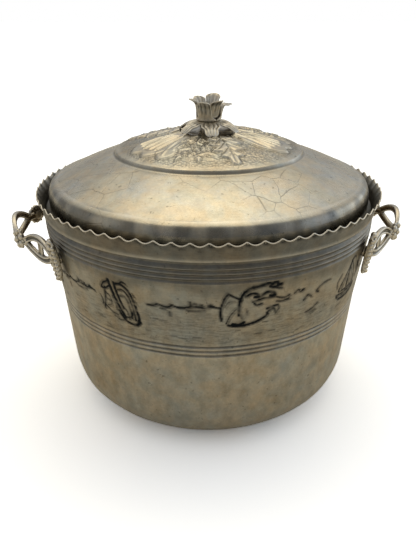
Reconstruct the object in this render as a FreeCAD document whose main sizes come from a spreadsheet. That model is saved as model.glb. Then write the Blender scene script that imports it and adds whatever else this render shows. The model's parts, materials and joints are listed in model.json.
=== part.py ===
import FreeCAD, Part
import math
import os
import Sketcher
from FreeCAD import Placement, Rotation, Vector

# Covered serving bowl in hand-wrought aluminium: a spun bowl with a crimped, scalloped rim, a spun and
# embossed lid that drops onto a ledge under the flared collar, a tulip finial built up from pressed sheet
# on one screw, and two cast ribbon-and-flower handles, each held by two rivets.
# Millimetres. Origin at the middle of the flat base, +Z up, handles on the X axis, front towards -Y.

SIZES = [
    # bowl
    ("rim_radius", 115.0), ("body_height", 148.2), ("bowl_sheet", 1.6),
    ("collar_radius", 111.2), ("collar_depth", 11.2), ("rim_blank", 1.6),
    ("scallop_count", 76), ("scallop_depth", 1.3),
    ("neck_radius", 111.0), ("ridge_depth", 1.0), ("ridge_pitch", 2.8), ("neck_height", 12.2),
    ("band_foot_radius", 105.5), ("band_foot_height", 81.4),
    ("line_pitch", 3.05), ("line_depth", 0.8), ("line_half_width", 0.8),
    ("wall_slope", 0.064), ("base_corner", 31.0),
    # lid
    ("lid_side_gap", 2.6), ("lid_sheet", 1.5), ("lid_seat_gap", 0.05), ("ledge_margin", 0.1),
    ("lid_rise", 34.2), ("centre_land", 8.0), ("boss_radius", 61.0), ("boss_drop", 10.4),
    ("boss_step_run", 3.4), ("boss_step_drop", 2.8), ("crease_inset", 7.5), ("crease_rise", 7.4),
    ("shoulder_inset", 2.7), ("shoulder_rise", 5.8), ("lid_edge_rise", 0.2),
    # finial
    ("stem_height", 6.0), ("stem_radius", 5.2), ("stem_waist", 3.9), ("finial_sheet", 0.9),
    ("leaf_count", 6), ("leaf_reach", 21.0), ("leaf_turn", 3.0),
    ("petal_count", 3), ("cup_radius", 8.9), ("cup_height", 13.6), ("cup_flare", 5.2),
    ("petal_gap", 0.12), ("petal_turn", 37.0), ("inner_cup_rise", 1.6),
    ("screw_radius", 2.0), ("screw_clearance", 0.1), ("screw_head_radius", 3.8), ("screw_head_height", 2.2),
    ("washer_radius", 6.5), ("washer_thickness", 1.0), ("nut_flats", 7.0), ("nut_height", 3.2),
    ("screw_overrun", 1.6),
    # handles
    ("handle_drop", 30.0), ("handle_reach", 24.8), ("handle_angle", 31.3), ("bow_bend", 26.0),
    ("bow_thickness", 2.6), ("bow_envelope", 17.0), ("foot_width", 11.0), ("foot_top", 13.0),
    ("foot_bottom", 15.5), ("foot_thickness", 2.6), ("foot_standoff", 2.0), ("foot_overlap", 3.4),
    ("side_eye_length", 21.0), ("side_eye_height", 9.6), ("side_eye_offset", 14.6), ("eye_tip", 7.5),
    ("middle_eye_length", 19.0), ("middle_eye_height", 11.0), ("strand_width", 3.2),
    ("eye_bar", 4.6), ("flower_offset", 10.0), ("flower_radius", 7.0), ("flower_petals", 6),
    ("bead_radius", 1.5), ("bead_count", 5), ("bead_pitch", 4.0),
    # rivets
    ("rivet_radius", 1.9), ("rivet_clearance", 0.05), ("rivet_head_radius", 3.8),
    ("rivet_head_height", 1.7), ("rivet_pad_radius", 3.6), ("rivet_seat_gap", 0.08),
]

doc = FreeCAD.newDocument("covered_bowl")
sheet = doc.addObject("Spreadsheet::Sheet", "Sizes")
for row, (alias, value) in enumerate(SIZES, start=1):
    sheet.set("A%d" % row, alias)
    sheet.set("B%d" % row, repr(value))
    sheet.setAlias("B%d" % row, alias)
doc.recompute()
NAMES = [alias for alias, _ in SIZES]
parts = {}


def size(alias):
    return float(getattr(sheet, alias))


def bound(text):
    """The same expression with each size's name pointing into the sheet."""
    word, out = "", []
    for ch in text + " ":
        if ch.isalnum() or ch == "_":
            word += ch
        else:
            out.append("Sizes." + word if word in NAMES else word)
            out.append(ch)
            word = ""
    return "".join(out).strip()


def number(text):
    got = sheet.evalExpression(bound(text))
    return float(getattr(got, "Value", got))


def bind(obj, prop, text):
    obj.setExpression(prop, bound(text))


def plane(body, role):
    return [f for f in body.Origin.OriginFeatures if f.Role == role][0]


def new_body(node):
    body = doc.addObject("PartDesign::Body", node + "_body")
    body.Label = node
    parts[node] = body
    return body


def new_sketch(body, role, name):
    sketch = body.newObject("Sketcher::SketchObject", name)
    sketch.AttachmentSupport = [(plane(body, role), "")]
    sketch.MapMode = "FlatFace"
    return sketch


def fix_point(sketch, geo, pos, x_text, y_text):
    """Ties a point to the sizes: DistanceX and DistanceY from the sketch's origin."""
    for axis, text in (("X", x_text), ("Y", y_text)):
        value = number(text)
        if abs(value) < 1e-9:
            sketch.addConstraint(Sketcher.Constraint("PointOnObject", geo, pos, -2 if axis == "X" else -1))
            continue
        at = sketch.addConstraint(Sketcher.Constraint("Distance" + axis, -1, 1, geo, pos, value))
        sketch.setExpression("Constraints[%d]" % at, bound(text))


def outline(sketch, points, arcs=None):
    """A closed outline through (x, y) expressions. arcs maps a point's index to the radius and centre of
    the arc that leaves it for the next point, anticlockwise when its flag is set."""
    arcs = arcs or {}
    xy = [Vector(number(x), number(y), 0) for x, y in points]
    count = len(points)
    for i in range(count):
        a, b = xy[i], xy[(i + 1) % count]
        if i in arcs:
            radius, cx, cy, anticlockwise = arcs[i]
            centre = Vector(number(cx), number(cy), 0)
            start, end = (a, b) if anticlockwise else (b, a)
            circle = Part.Circle(centre, Vector(0, 0, 1), number(radius))
            sketch.addGeometry(Part.ArcOfCircle(
                circle, math.atan2(start.y - centre.y, start.x - centre.x),
                math.atan2(end.y - centre.y, end.x - centre.x)), False)
        else:
            sketch.addGeometry(Part.LineSegment(a, b), False)

    def ends(i):
        return (1, 2) if i not in arcs or arcs[i][3] else (2, 1)

    for i in range(count):
        nxt = (i + 1) % count
        sketch.addConstraint(Sketcher.Constraint("Coincident", i, ends(i)[1], nxt, ends(nxt)[0]))
    for i, (x, y) in enumerate(points):
        fix_point(sketch, i, ends(i)[0], x, y)
    for i, (radius, cx, cy, flag) in arcs.items():
        at = sketch.addConstraint(Sketcher.Constraint("Radius", i, number(radius)))
        sketch.setExpression("Constraints[%d]" % at, bound(radius))
    return sketch


def revolve(body, sketch, kind="PartDesign::Revolution", name="Turned"):
    feature = body.newObject(kind, name)
    feature.Profile = sketch
    feature.ReferenceAxis = (sketch, ["V_Axis"])
    feature.Angle = 360.0
    sketch.Visibility = False
    doc.recompute()
    return feature


def polar(body, feature, count_text, angle_text, name):
    pattern = body.newObject("PartDesign::PolarPattern", name)
    pattern.Originals = [feature]
    pattern.Axis = (plane(body, "Z_Axis"), [""])
    bind(pattern, "Angle", angle_text)
    bind(pattern, "Occurrences", count_text)
    body.Tip = pattern
    doc.recompute()
    return pattern


def must_remove(before, feature, what):
    if not feature.Shape.Volume < before - 1e-6:
        raise RuntimeError(what + " removed nothing")


# ---------------------------------------------------------------- bowl
COLLAR_Z = "(body_height - collar_depth)"
WALL_RUN = ("((neck_radius - 0.3 - band_foot_radius) / "
            "(%s - neck_height - band_foot_height - line_half_width))" % COLLAR_Z)
LID_RADIUS = "(collar_radius - bowl_sheet - lid_side_gap)"
LEDGE_RADIUS = "(%s - lid_sheet - ledge_margin)" % LID_RADIUS
LEDGE_Z = "(%s + bowl_sheet - 0.2)" % COLLAR_Z
LINES_END_Z = "(band_foot_height - 2 * line_pitch - line_half_width - 0.6)"
LINES_END_R = "(band_foot_radius - 0.5)"
ROOT = "sqrt(1 + wall_slope ^ 2)"


def corner(radius, start_r):
    """Centre radius of the arc that is tangent to the base and to the lower wall."""
    return "(%s + wall_slope * (base_corner - %s) - (%s) * %s)" % (start_r, LINES_END_Z, radius, ROOT)


def bowl_shell():
    body = new_body("bowl_shell")
    z, w = COLLAR_Z, "neck_radius"
    outer = [("0", "0")]
    cx = corner("base_corner", LINES_END_R)
    outer += [(cx, "0"),
              ("%s + base_corner / %s" % (cx, ROOT), "base_corner - wall_slope * base_corner / %s" % ROOT),
              (LINES_END_R, LINES_END_Z)]
    for k in (2, 1, 0):
        at = "band_foot_height - %d * line_pitch" % k
        r = "band_foot_radius - %s" % (0.25 * k)
        outer += [(r, at + " - line_half_width"), (r + " - line_depth", at), (r, at + " + line_half_width")]
    outer += [("%s - 0.3" % w, "%s - neck_height" % z)]
    for k in (2, 1, 0):
        top = "%s - 3.5 - %d * ridge_pitch" % (z, k)
        outer += [("%s - ridge_depth" % w, top + " - 1.9"), (w, top + " - 0.9"), (w, top + " - 0.1"),
                  ("%s - ridge_depth" % w if k else "%s + bowl_sheet" % LEDGE_RADIUS,
                   top + (" + 0.6" if k else " + 2.0"))]
    outer += [("%s + bowl_sheet" % LEDGE_RADIUS, "%s - 0.2" % z), ("collar_radius", z),
              ("collar_radius + 0.6", "%s + 0.36 * collar_depth" % z),
              ("rim_radius - 1.2", "%s + 0.75 * collar_depth" % z),
              ("rim_radius + 0.3", "body_height + rim_blank"), ("0", "body_height + rim_blank")]
    sketch = outline(new_sketch(body, "XZ_Plane", "BowlOutside"), outer,
                     {1: ("base_corner", cx, "base_corner", True)})
    solid = revolve(body, sketch, name="BowlBlank")

    t, c = "bowl_sheet", "(base_corner - bowl_sheet)"
    ci = "(%s - %s + wall_slope * (base_corner - %s) - %s * %s)" % (LINES_END_R, t, LINES_END_Z, c, ROOT)
    inner = [("0", t), (ci, t),
             ("%s + %s / %s" % (ci, c, ROOT), "base_corner - wall_slope * %s / %s" % (c, ROOT)),
             ("%s - %s" % (LINES_END_R, t), LINES_END_Z),
             ("band_foot_radius - %s" % t, "band_foot_height + line_half_width"),
             ("%s - 0.3 - %s" % (w, t), "%s - neck_height" % z),
             ("%s - ridge_depth - %s" % (w, t), "%s - neck_height + 1.6" % z),
             ("%s - ridge_depth - %s" % (w, t), "%s - 5.2" % z),
             (LEDGE_RADIUS, "%s - 2.4" % z), (LEDGE_RADIUS, LEDGE_Z),
             ("collar_radius - %s" % t, LEDGE_Z),
             ("collar_radius + 0.6 - %s" % t, "%s + 0.36 * collar_depth" % z),
             ("rim_radius - 1.2 - %s" % t, "%s + 0.75 * collar_depth" % z),
             ("rim_radius + 0.3 - %s" % t, "body_height + rim_blank"),
             ("rim_radius + 0.3 - %s" % t, "body_height + rim_blank + 2"),
             ("0", "body_height + rim_blank + 2")]
    sketch = outline(new_sketch(body, "XZ_Plane", "BowlInside"), inner,
                     {1: (c, ci, "base_corner", True)})
    before = solid.Shape.Volume
    hollow = revolve(body, sketch, "PartDesign::Groove", "BowlHollow")
    must_remove(before, hollow, "bowl hollow")

    # one scallop: a short cylinder that points out through the rim, repeated all the way round
    pitch = "(2 * pi * rim_radius / scallop_count)"
    scoop = "((%s ^ 2 / 4 + scallop_depth ^ 2) / (2 * scallop_depth))" % pitch
    sketch = new_sketch(body, "XZ_Plane", "ScallopOutline")
    bind(sketch, ".AttachmentOffset.Base.z", "rim_radius - bowl_sheet - 4")
    sketch.addGeometry(Part.Circle(Vector(0, number("body_height - scallop_depth / 2 + " + scoop), 0),
                                   Vector(0, 0, 1), number(scoop)), False)
    fix_point(sketch, 0, 3, "0", "body_height - scallop_depth / 2 + " + scoop)
    at = sketch.addConstraint(Sketcher.Constraint("Radius", 0, number(scoop)))
    sketch.setExpression("Constraints[%d]" % at, bound(scoop))
    cut = body.newObject("PartDesign::Pocket", "Scallop")
    cut.Profile = sketch
    cut.Type = "Length"
    bind(cut, "Length", "bowl_sheet + 8")
    cut.Reversed = True
    sketch.Visibility = False
    before = hollow.Shape.Volume
    doc.recompute()
    must_remove(before, cut, "scallop")
    scallops = polar(body, cut, "scallop_count", "360", "Scallops")
    must_remove(cut.Shape.Volume, scallops, "scallops")

    last = scallops
    for name, side, turn in RIVETS:
        hole = body.newObject("PartDesign::SubtractiveCylinder", "HoleFor_" + name)
        bind(hole, "Radius", "rivet_radius + rivet_clearance")
        bind(hole, "Height", "foot_standoff + bowl_sheet + 8")
        hole.Placement = foot_frame(side, turn, -size("bowl_sheet") - 6)
        before = last.Shape.Volume
        doc.recompute()
        must_remove(before, hole, hole.Name)
        last = hole
    body.Tip = last
    return body


# ---------------------------------------------------------------- places shared by handles and rivets
RIVETS = [("left_front_rivet", 180, -1), ("left_back_rivet", 180, 1),
          ("right_front_rivet", 0, -1), ("right_back_rivet", 0, 1)]


def wall_radius_at_handle():
    z = size("body_height") - size("handle_drop")
    return number("neck_radius - 0.3") - (number(COLLAR_Z + " - neck_height") - z) * number(WALL_RUN)


def foot_frame(side, turn, lift=0.0, u=0.0, v=0.0):
    """Frame on the outside of the wall under a handle's foot: x round the wall, y up it, z out of it.
    turn is -1 for the foot nearer the front and +1 for the other, whichever side the handle is on."""
    lean = math.atan(number(WALL_RUN))
    angle = size("handle_angle") * turn
    round_z = math.radians(angle if side == 0 else 180.0 - angle)
    out = Vector(math.cos(round_z), math.sin(round_z), 0)
    normal = out * math.cos(lean) - Vector(0, 0, math.sin(lean))
    up = out * math.sin(lean) + Vector(0, 0, math.cos(lean))
    along = Vector(-math.sin(round_z), math.cos(round_z), 0)
    base = out * wall_radius_at_handle() + Vector(0, 0, size("body_height") - size("handle_drop"))
    return Placement(base + normal * lift + along * u + up * v, Rotation(along, up, normal, "XYZ"))


# ---------------------------------------------------------------- lid
LID_TOP = "(body_height + lid_rise)"


def lid_shell():
    body = new_body("lid_shell")
    edge, top = LID_RADIUS, LID_TOP
    outer = [(edge, "%s + lid_seat_gap" % LEDGE_Z), (edge, "body_height + lid_edge_rise - 3"),
             (edge + " - 0.35", "body_height + lid_edge_rise"),
             (edge + " - 1.3", "body_height + lid_edge_rise + 3.2"),
             (edge + " - shoulder_inset", "body_height + shoulder_rise"),
             (edge + " - crease_inset", "body_height + crease_rise"),
             ("boss_radius + boss_step_run", "%s - boss_drop - boss_step_drop" % top),
             ("boss_radius + 0.4 * boss_step_run", "%s - boss_drop - 0.75 * boss_step_drop" % top),
             ("boss_radius", "%s - boss_drop" % top),
             ("0.78 * boss_radius", "%s - 0.60 * boss_drop" % top),
             ("0.55 * boss_radius", "%s - 0.29 * boss_drop" % top),
             ("0.32 * boss_radius", "%s - 0.09 * boss_drop" % top),
             ("centre_land", top), ("0", top)]
    t = "lid_sheet"
    inner = [("0", "%s - %s" % (top, t)), ("centre_land", "%s - %s" % (top, t)),
             ("0.32 * boss_radius", "%s - 0.09 * boss_drop - %s" % (top, t)),
             ("0.55 * boss_radius", "%s - 0.29 * boss_drop - %s" % (top, t)),
             ("0.78 * boss_radius", "%s - 0.60 * boss_drop - %s" % (top, t)),
             ("boss_radius - 0.6", "%s - boss_drop - %s" % (top, t)),
             ("boss_radius + 0.4 * boss_step_run - 0.8", "%s - boss_drop - 0.75 * boss_step_drop - %s" % (top, t)),
             ("boss_radius + boss_step_run - 0.4", "%s - boss_drop - boss_step_drop - %s" % (top, t)),
             (edge + " - crease_inset - 0.4", "body_height + crease_rise - %s" % t),
             (edge + " - shoulder_inset - 1.0", "body_height + shoulder_rise - %s" % t),
             (edge + " - 1.3 - %s" % t, "body_height + lid_edge_rise + 2.4"),
             (edge + " - 0.35 - %s" % t, "body_height + lid_edge_rise"),
             (edge + " - " + t, "body_height + lid_edge_rise - 3"),
             (edge + " - " + t, "%s + lid_seat_gap" % LEDGE_Z)]
    spun = revolve(body, outline(new_sketch(body, "XZ_Plane", "LidSection"), outer + inner), name="LidSpun")
    hole = body.newObject("PartDesign::SubtractiveCylinder", "FinialHole")
    bind(hole, "Radius", "screw_radius + screw_clearance")
    bind(hole, "Height", "lid_sheet + 10")
    hole.Placement = Placement(Vector(0, 0, number(LID_TOP) - size("lid_sheet") - 5), Rotation())
    doc.recompute()
    must_remove(spun.Shape.Volume, hole, "finial hole")
    body.Tip = hole
    return body


# ---------------------------------------------------------------- finial, one pile on one screw
STEM_TOP = "(%s + stem_height)" % LID_TOP
LEAF_TOP = "(%s + finial_sheet)" % STEM_TOP
OUTER_TOP = "(%s + finial_sheet)" % LEAF_TOP
INNER_TOP = "(%s + finial_sheet)" % OUTER_TOP
BORE = "(screw_radius + screw_clearance)"


def finial_stem():
    body = new_body("finial_stem")
    outline_points = [(BORE, LID_TOP), ("stem_radius", LID_TOP), ("stem_radius", "%s + 1.2" % LID_TOP),
                      ("stem_waist", "%s + 0.45 * stem_height" % LID_TOP),
                      ("stem_radius - 0.4", "%s - 1.0" % STEM_TOP), ("stem_radius - 0.4", STEM_TOP),
                      (BORE, STEM_TOP)]
    revolve(body, outline(new_sketch(body, "XZ_Plane", "StemSection"), outline_points), name="StemTurned")
    return body


def finial_leaves():
    body = new_body("finial_leaves")
    reach, top = "leaf_reach", LEAF_TOP
    line = [(BORE, "0"), ("0.36 * %s" % reach, "0"), ("0.60 * %s" % reach, "0.16 * stem_height"),
            ("0.80 * %s" % reach, "0.52 * stem_height"), ("0.93 * %s" % reach, "0.86 * stem_height"),
            (reach, "1.08 * stem_height")]
    over = [(r, "%s - %s" % (top, d)) for r, d in line]
    under = [(r if k == 0 else "%s - %s" % (r, 0.07 * k), "%s - %s - finial_sheet" % (top, d))
             for k, (r, d) in enumerate(line)]
    section = [under[0]] + under[1:] + over[::-1]
    spun = revolve(body, outline(new_sketch(body, "XZ_Plane", "LeafSection"), section), name="LeafDome")
    # the gap between two leaves: narrow by the stem, wide past the side lobes, closing in to the tips
    gap = [("0.45", "0"), ("0.62", "-0.035"), ("0.70", "-0.06"), ("0.76", "-0.20"), ("0.86", "-0.25"),
           ("0.95", "-0.36"), ("1.04", "-0.60"), ("1.35", "-0.78"), ("1.35", "0.78"), ("1.04", "0.60"),
           ("0.95", "0.36"), ("0.86", "0.25"), ("0.76", "0.20"), ("0.70", "0.06"), ("0.62", "0.035")]
    turn = math.radians(size("leaf_turn") - 90.0 + 180.0 / size("leaf_count"))
    points = []
    for along, across in gap:
        a, b = float(along), float(across)
        points.append(("%.6f * %s" % (a * math.cos(turn) - b * math.sin(turn), reach),
                       "%.6f * %s" % (a * math.sin(turn) + b * math.cos(turn), reach)))
    cut = body.newObject("PartDesign::Pocket", "LeafGap")
    cut.Profile = outline(new_sketch(body, "XY_Plane", "LeafGapOutline"), points)
    cut.Type = "ThroughAll"
    cut.SideType = "Symmetric"
    before = spun.Shape.Volume
    doc.recompute()
    must_remove(before, cut, "leaf gap")
    polar(body, cut, "leaf_count", "360", "LeafGaps")
    return body


def petal_cup(node, base_top, inset, turn_text, grow):
    """A cup of petals pressed from one blank: a disc on the pile, a fluted wall, tips that curl out."""
    body = new_body(node)
    low = "(%s - finial_sheet)" % base_top
    inset = "(%s)" % inset
    wall = [("cup_radius - 0.5", "0.5"), ("cup_radius", "1.9"), ("cup_radius + 0.10 * cup_flare", "0.45 * cup_height"),
            ("cup_radius + 0.36 * cup_flare", "0.74 * cup_height"),
            ("cup_radius + 0.72 * cup_flare", "0.92 * cup_height"), ("cup_radius + cup_flare", "cup_height")]
    out = [("%s - %s" % (r, inset), "%s + %s + %s" % (STEM_TOP, z, grow)) for r, z in wall[1:]]
    inn = [("%s - %s - finial_sheet" % (r, inset), "%s + %s + %s + %s" % (STEM_TOP, z, grow, 0.10 * k))
           for k, (r, z) in enumerate(wall[1:])]
    section = [(BORE, low), ("cup_radius - 1.4 - %s" % inset, low), *out, *inn[::-1],
               ("cup_radius - 2.2 - %s" % inset, base_top), (BORE, base_top)]
    spun = revolve(body, outline(new_sketch(body, "XZ_Plane", node + "_section"), section), name=node + "_spun")
    half = "0.5 * pi * cup_radius / petal_count"
    rise = [("0.35", "0.55 * cup_height"), ("0.80", "0.78 * cup_height"), ("1.35", "0.90 * cup_height"),
            ("2.25", "cup_height + 0.1"), ("2.45", "cup_height + 4")]
    notch = [("0", "%s + 2.6" % STEM_TOP)]
    notch += [("%s * %s" % (x, half), "%s + %s + %s" % (STEM_TOP, z, grow)) for x, z in rise]
    notch += [("-%s * %s" % (x, half), "%s + %s + %s" % (STEM_TOP, z, grow)) for x, z in rise[::-1]]
    cut = body.newObject("PartDesign::Pocket", node + "_notch")
    cut.Profile = outline(new_sketch(body, "XZ_Plane", node + "_notch_outline"), notch)
    cut.Type = "Length"
    bind(cut, "Length", "cup_radius + cup_flare + 6")
    cut.Reversed = True
    before = spun.Shape.Volume
    doc.recompute()
    must_remove(before, cut, node + " notch")
    polar(body, cut, "petal_count", "360", node + "_notches")
    body.Placement = Placement(Vector(), Rotation(Vector(0, 0, 1), number(turn_text)))
    return body


def finial_screw():
    body = new_body("finial_screw")
    end = "(%s - lid_sheet - washer_thickness - nut_height - screw_overrun)" % LID_TOP
    head = "screw_head_radius"
    section = [("0", end), ("screw_radius - 0.4", end), ("screw_radius", "%s + 0.4" % end),
               ("screw_radius", INNER_TOP), (head, INNER_TOP), (head, "%s + 0.35 * screw_head_height" % INNER_TOP),
               ("0.62 * %s" % head, "%s + 0.85 * screw_head_height" % INNER_TOP),
               ("0", "%s + screw_head_height" % INNER_TOP)]
    revolve(body, outline(new_sketch(body, "XZ_Plane", "ScrewSection"), section), name="ScrewTurned")
    slot = body.newObject("PartDesign::SubtractiveBox", "ScrewSlot")
    bind(slot, "Length", "2 * screw_head_radius + 2")
    slot.Width = 0.9
    slot.Height = 4.0
    slot.Placement = Placement(Vector(-size("screw_head_radius") - 1, -0.45,
                                      number(INNER_TOP + " + 0.45 * screw_head_height")), Rotation())
    doc.recompute()
    body.Tip = slot
    return body


def finial_washer():
    body = new_body("finial_washer")
    top = "(%s - lid_sheet)" % LID_TOP
    section = [(BORE, top + " - washer_thickness"), ("washer_radius", top + " - washer_thickness"),
               ("washer_radius", top), (BORE, top)]
    revolve(body, outline(new_sketch(body, "XZ_Plane", "WasherSection"), section), name="WasherRing")
    return body


def finial_nut():
    body = new_body("finial_nut")
    sketch = new_sketch(body, "XY_Plane", "NutOutline")
    across = "(nut_flats / sqrt(3))"
    points = [("%.9f * %s" % (math.cos(math.radians(a)), across), "%.9f * %s" % (math.sin(math.radians(a)), across))
              for a in range(0, 360, 60)]
    outline(sketch, points)
    sketch.addGeometry(Part.Circle(Vector(), Vector(0, 0, 1), number("screw_radius + 0.03")), False)
    sketch.addConstraint(Sketcher.Constraint("Coincident", 6, 3, -1, 1))
    at = sketch.addConstraint(Sketcher.Constraint("Radius", 6, number("screw_radius + 0.03")))
    sketch.setExpression("Constraints[%d]" % at, bound("screw_radius + 0.03"))
    pad = body.newObject("PartDesign::Pad", "NutBlock")
    pad.Profile = sketch
    bind(pad, "Length", "nut_height")
    body.Placement = Placement(Vector(0, 0, number("%s - lid_sheet - washer_thickness - nut_height" % LID_TOP)),
                               Rotation())
    doc.recompute()
    return body


# ---------------------------------------------------------------- handles
HANDLE_Z = "(body_height - handle_drop)"


def bow_plan():
    """The bow seen from above: a bend about centre_x on the X axis, then a straight flank, tangent to the
    bend, that runs into the inner edge of the foot at (end_x, end_y)."""
    bend = size("bow_bend")
    centre_x = wall_radius_at_handle() + size("handle_reach") - bend
    foot_middle = wall_radius_at_handle() + size("foot_standoff") + size("foot_thickness") / 2
    inner = math.radians(size("handle_angle")) - (size("foot_width") / 2 - size("foot_overlap")) / foot_middle
    end_x, end_y = foot_middle * math.cos(inner), foot_middle * math.sin(inner)
    span = math.hypot(end_x - centre_x, end_y)
    turn = math.acos(bend / span)
    turn = math.atan2(end_y, end_x - centre_x) - turn
    return centre_x, bend, turn, end_x, end_y


def bow_point(y, out=0.0):
    """Point at height of the bow's middle, at this y, moved outwards, and the outward direction there."""
    centre_x, bend, turn, end_x, end_y = bow_plan()
    side = -1.0 if y < 0 else 1.0
    y = abs(y)
    if y <= bend * math.sin(turn):
        angle = math.asin(y / bend)
        x = centre_x + bend * math.cos(angle)
    else:
        angle = turn
        x = centre_x + bend * math.cos(turn) - (y - bend * math.sin(turn)) * math.tan(turn)
    away = Vector(math.cos(angle), side * math.sin(angle), 0)
    return Vector(x, side * y, number(HANDLE_Z)) + away * out, away


def bow_band(node):
    """Plain band along the bow, as tall as its tallest eye; the outline of the eyes is cut from it."""
    body = doc.addObject("PartDesign::Body", node + "_band")
    sketch = new_sketch(body, "XY_Plane", node + "_band_plan")
    bind(sketch, ".AttachmentOffset.Base.z", HANDLE_Z)
    centre_x, bend, turn, end_x, end_y = bow_plan()
    half = size("bow_thickness") / 2
    run = Vector(-math.sin(turn), math.cos(turn), 0)
    away = Vector(math.cos(turn), math.sin(turn), 0)
    corners = []
    for radius in (bend + half, bend - half):
        start = Vector(centre_x, 0, 0) + away * radius
        along = (Vector(end_x, end_y, 0) - start).dot(run)
        corners.append((start, start + run * along))
    (out_a, out_b), (in_a, in_b) = corners

    def low(v):
        return Vector(v.x, -v.y, 0)

    centre, up = Vector(centre_x, 0, 0), Vector(0, 0, 1)
    geometry = [Part.ArcOfCircle(Part.Circle(centre, up, bend + half), -turn, turn),
                Part.LineSegment(out_a, out_b), Part.LineSegment(out_b, in_b), Part.LineSegment(in_b, in_a),
                Part.ArcOfCircle(Part.Circle(centre, up, bend - half), -turn, turn),
                Part.LineSegment(low(in_a), low(in_b)), Part.LineSegment(low(in_b), low(out_b)),
                Part.LineSegment(low(out_b), low(out_a))]
    sketch.addGeometry(geometry, False)
    add = sketch.addConstraint
    for pair in ((0, 2, 1, 1), (3, 2, 4, 2), (4, 1, 5, 1), (7, 2, 0, 1)):
        add(Sketcher.Constraint("Tangent", *pair))
    for pair in ((1, 2, 2, 1), (2, 2, 3, 1), (5, 2, 6, 1), (6, 2, 7, 1)):
        add(Sketcher.Constraint("Coincident", *pair))
    add(Sketcher.Constraint("Coincident", 0, 3, 4, 3))
    add(Sketcher.Constraint("PointOnObject", 0, 3, -1))
    for geo, radius in ((0, "bow_bend + bow_thickness / 2"), (4, "bow_bend - bow_thickness / 2")):
        at = add(Sketcher.Constraint("Radius", geo, number(radius)))
        sketch.setExpression("Constraints[%d]" % at, bound(radius))
    add(Sketcher.Constraint("DistanceX", -1, 1, 0, 3, centre_x))
    add(Sketcher.Constraint("Perpendicular", 1, 2))
    add(Sketcher.Constraint("Symmetric", 1, 2, 7, 1, -1))
    add(Sketcher.Constraint("Symmetric", 2, 2, 5, 2, -1))
    add(Sketcher.Constraint("DistanceX", -1, 1, 2, 2, in_b.x))
    add(Sketcher.Constraint("DistanceY", -1, 1, 2, 2, in_b.y))
    pad = body.newObject("PartDesign::Pad", node + "_band_pad")
    pad.Profile = sketch
    pad.SideType = "Symmetric"
    bind(pad, "Length", "bow_envelope")
    sketch.Visibility = False
    return body


def lens(name, y, length, height):
    """A pointed oval seen along X: what two long cylinders share."""
    a, b = length / 2.0, height / 2.0
    radius = (a * a + b * b) / (2 * b)
    halves = []
    for sign in (-1, 1):
        tube = doc.addObject("Part::Cylinder", "%s_%s" % (name, "low" if sign < 0 else "high"))
        tube.Radius, tube.Height = radius, size("rim_radius") * 0.6
        tube.Placement = Placement(Vector(size("rim_radius") * 0.7, y, number(HANDLE_Z) + sign * (radius - b)),
                                   Rotation(Vector(0, 1, 0), 90))
        halves.append(tube)
    shared = doc.addObject("Part::Common", name)
    shared.Base, shared.Tool = halves
    return shared


def ball(name, at, radius_text):
    sphere = doc.addObject("Part::Sphere", name)
    bind(sphere, "Radius", radius_text)
    sphere.Placement = Placement(at, Rotation())
    return sphere


def foot_plate(node, turn, tag):
    body = doc.addObject("PartDesign::Body", "%s_foot_%s" % (node, tag))
    sketch = new_sketch(body, "XY_Plane", "%s_foot_plan_%s" % (node, tag))
    bind(sketch, ".AttachmentOffset.Base.z", "foot_standoff")
    half = "0.5 * foot_width"
    right = [("0.78 * " + half, "0.88 * foot_top"), (half, "0.62 * foot_top"), (half, "-0.25 * foot_bottom"),
             ("0.84 * " + half, "-0.62 * foot_bottom"), ("0.42 * " + half, "-0.90 * foot_bottom")]
    points = [("0", "foot_top")] + right + [("0", "-foot_bottom")]
    points += [("-" + x, y) for x, y in right[::-1]]
    outline(sketch, points)
    pad = body.newObject("PartDesign::Pad", "%s_foot_pad_%s" % (node, tag))
    pad.Profile = sketch
    bind(pad, "Length", "foot_thickness")
    sketch.Visibility = False
    body.Placement = foot_frame(0, turn)
    return body


def tube_along(name, frame, radius_text, height_text):
    tube = doc.addObject("Part::Cylinder", name)
    bind(tube, "Radius", radius_text)
    bind(tube, "Height", height_text)
    tube.Placement = frame
    return tube


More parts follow.
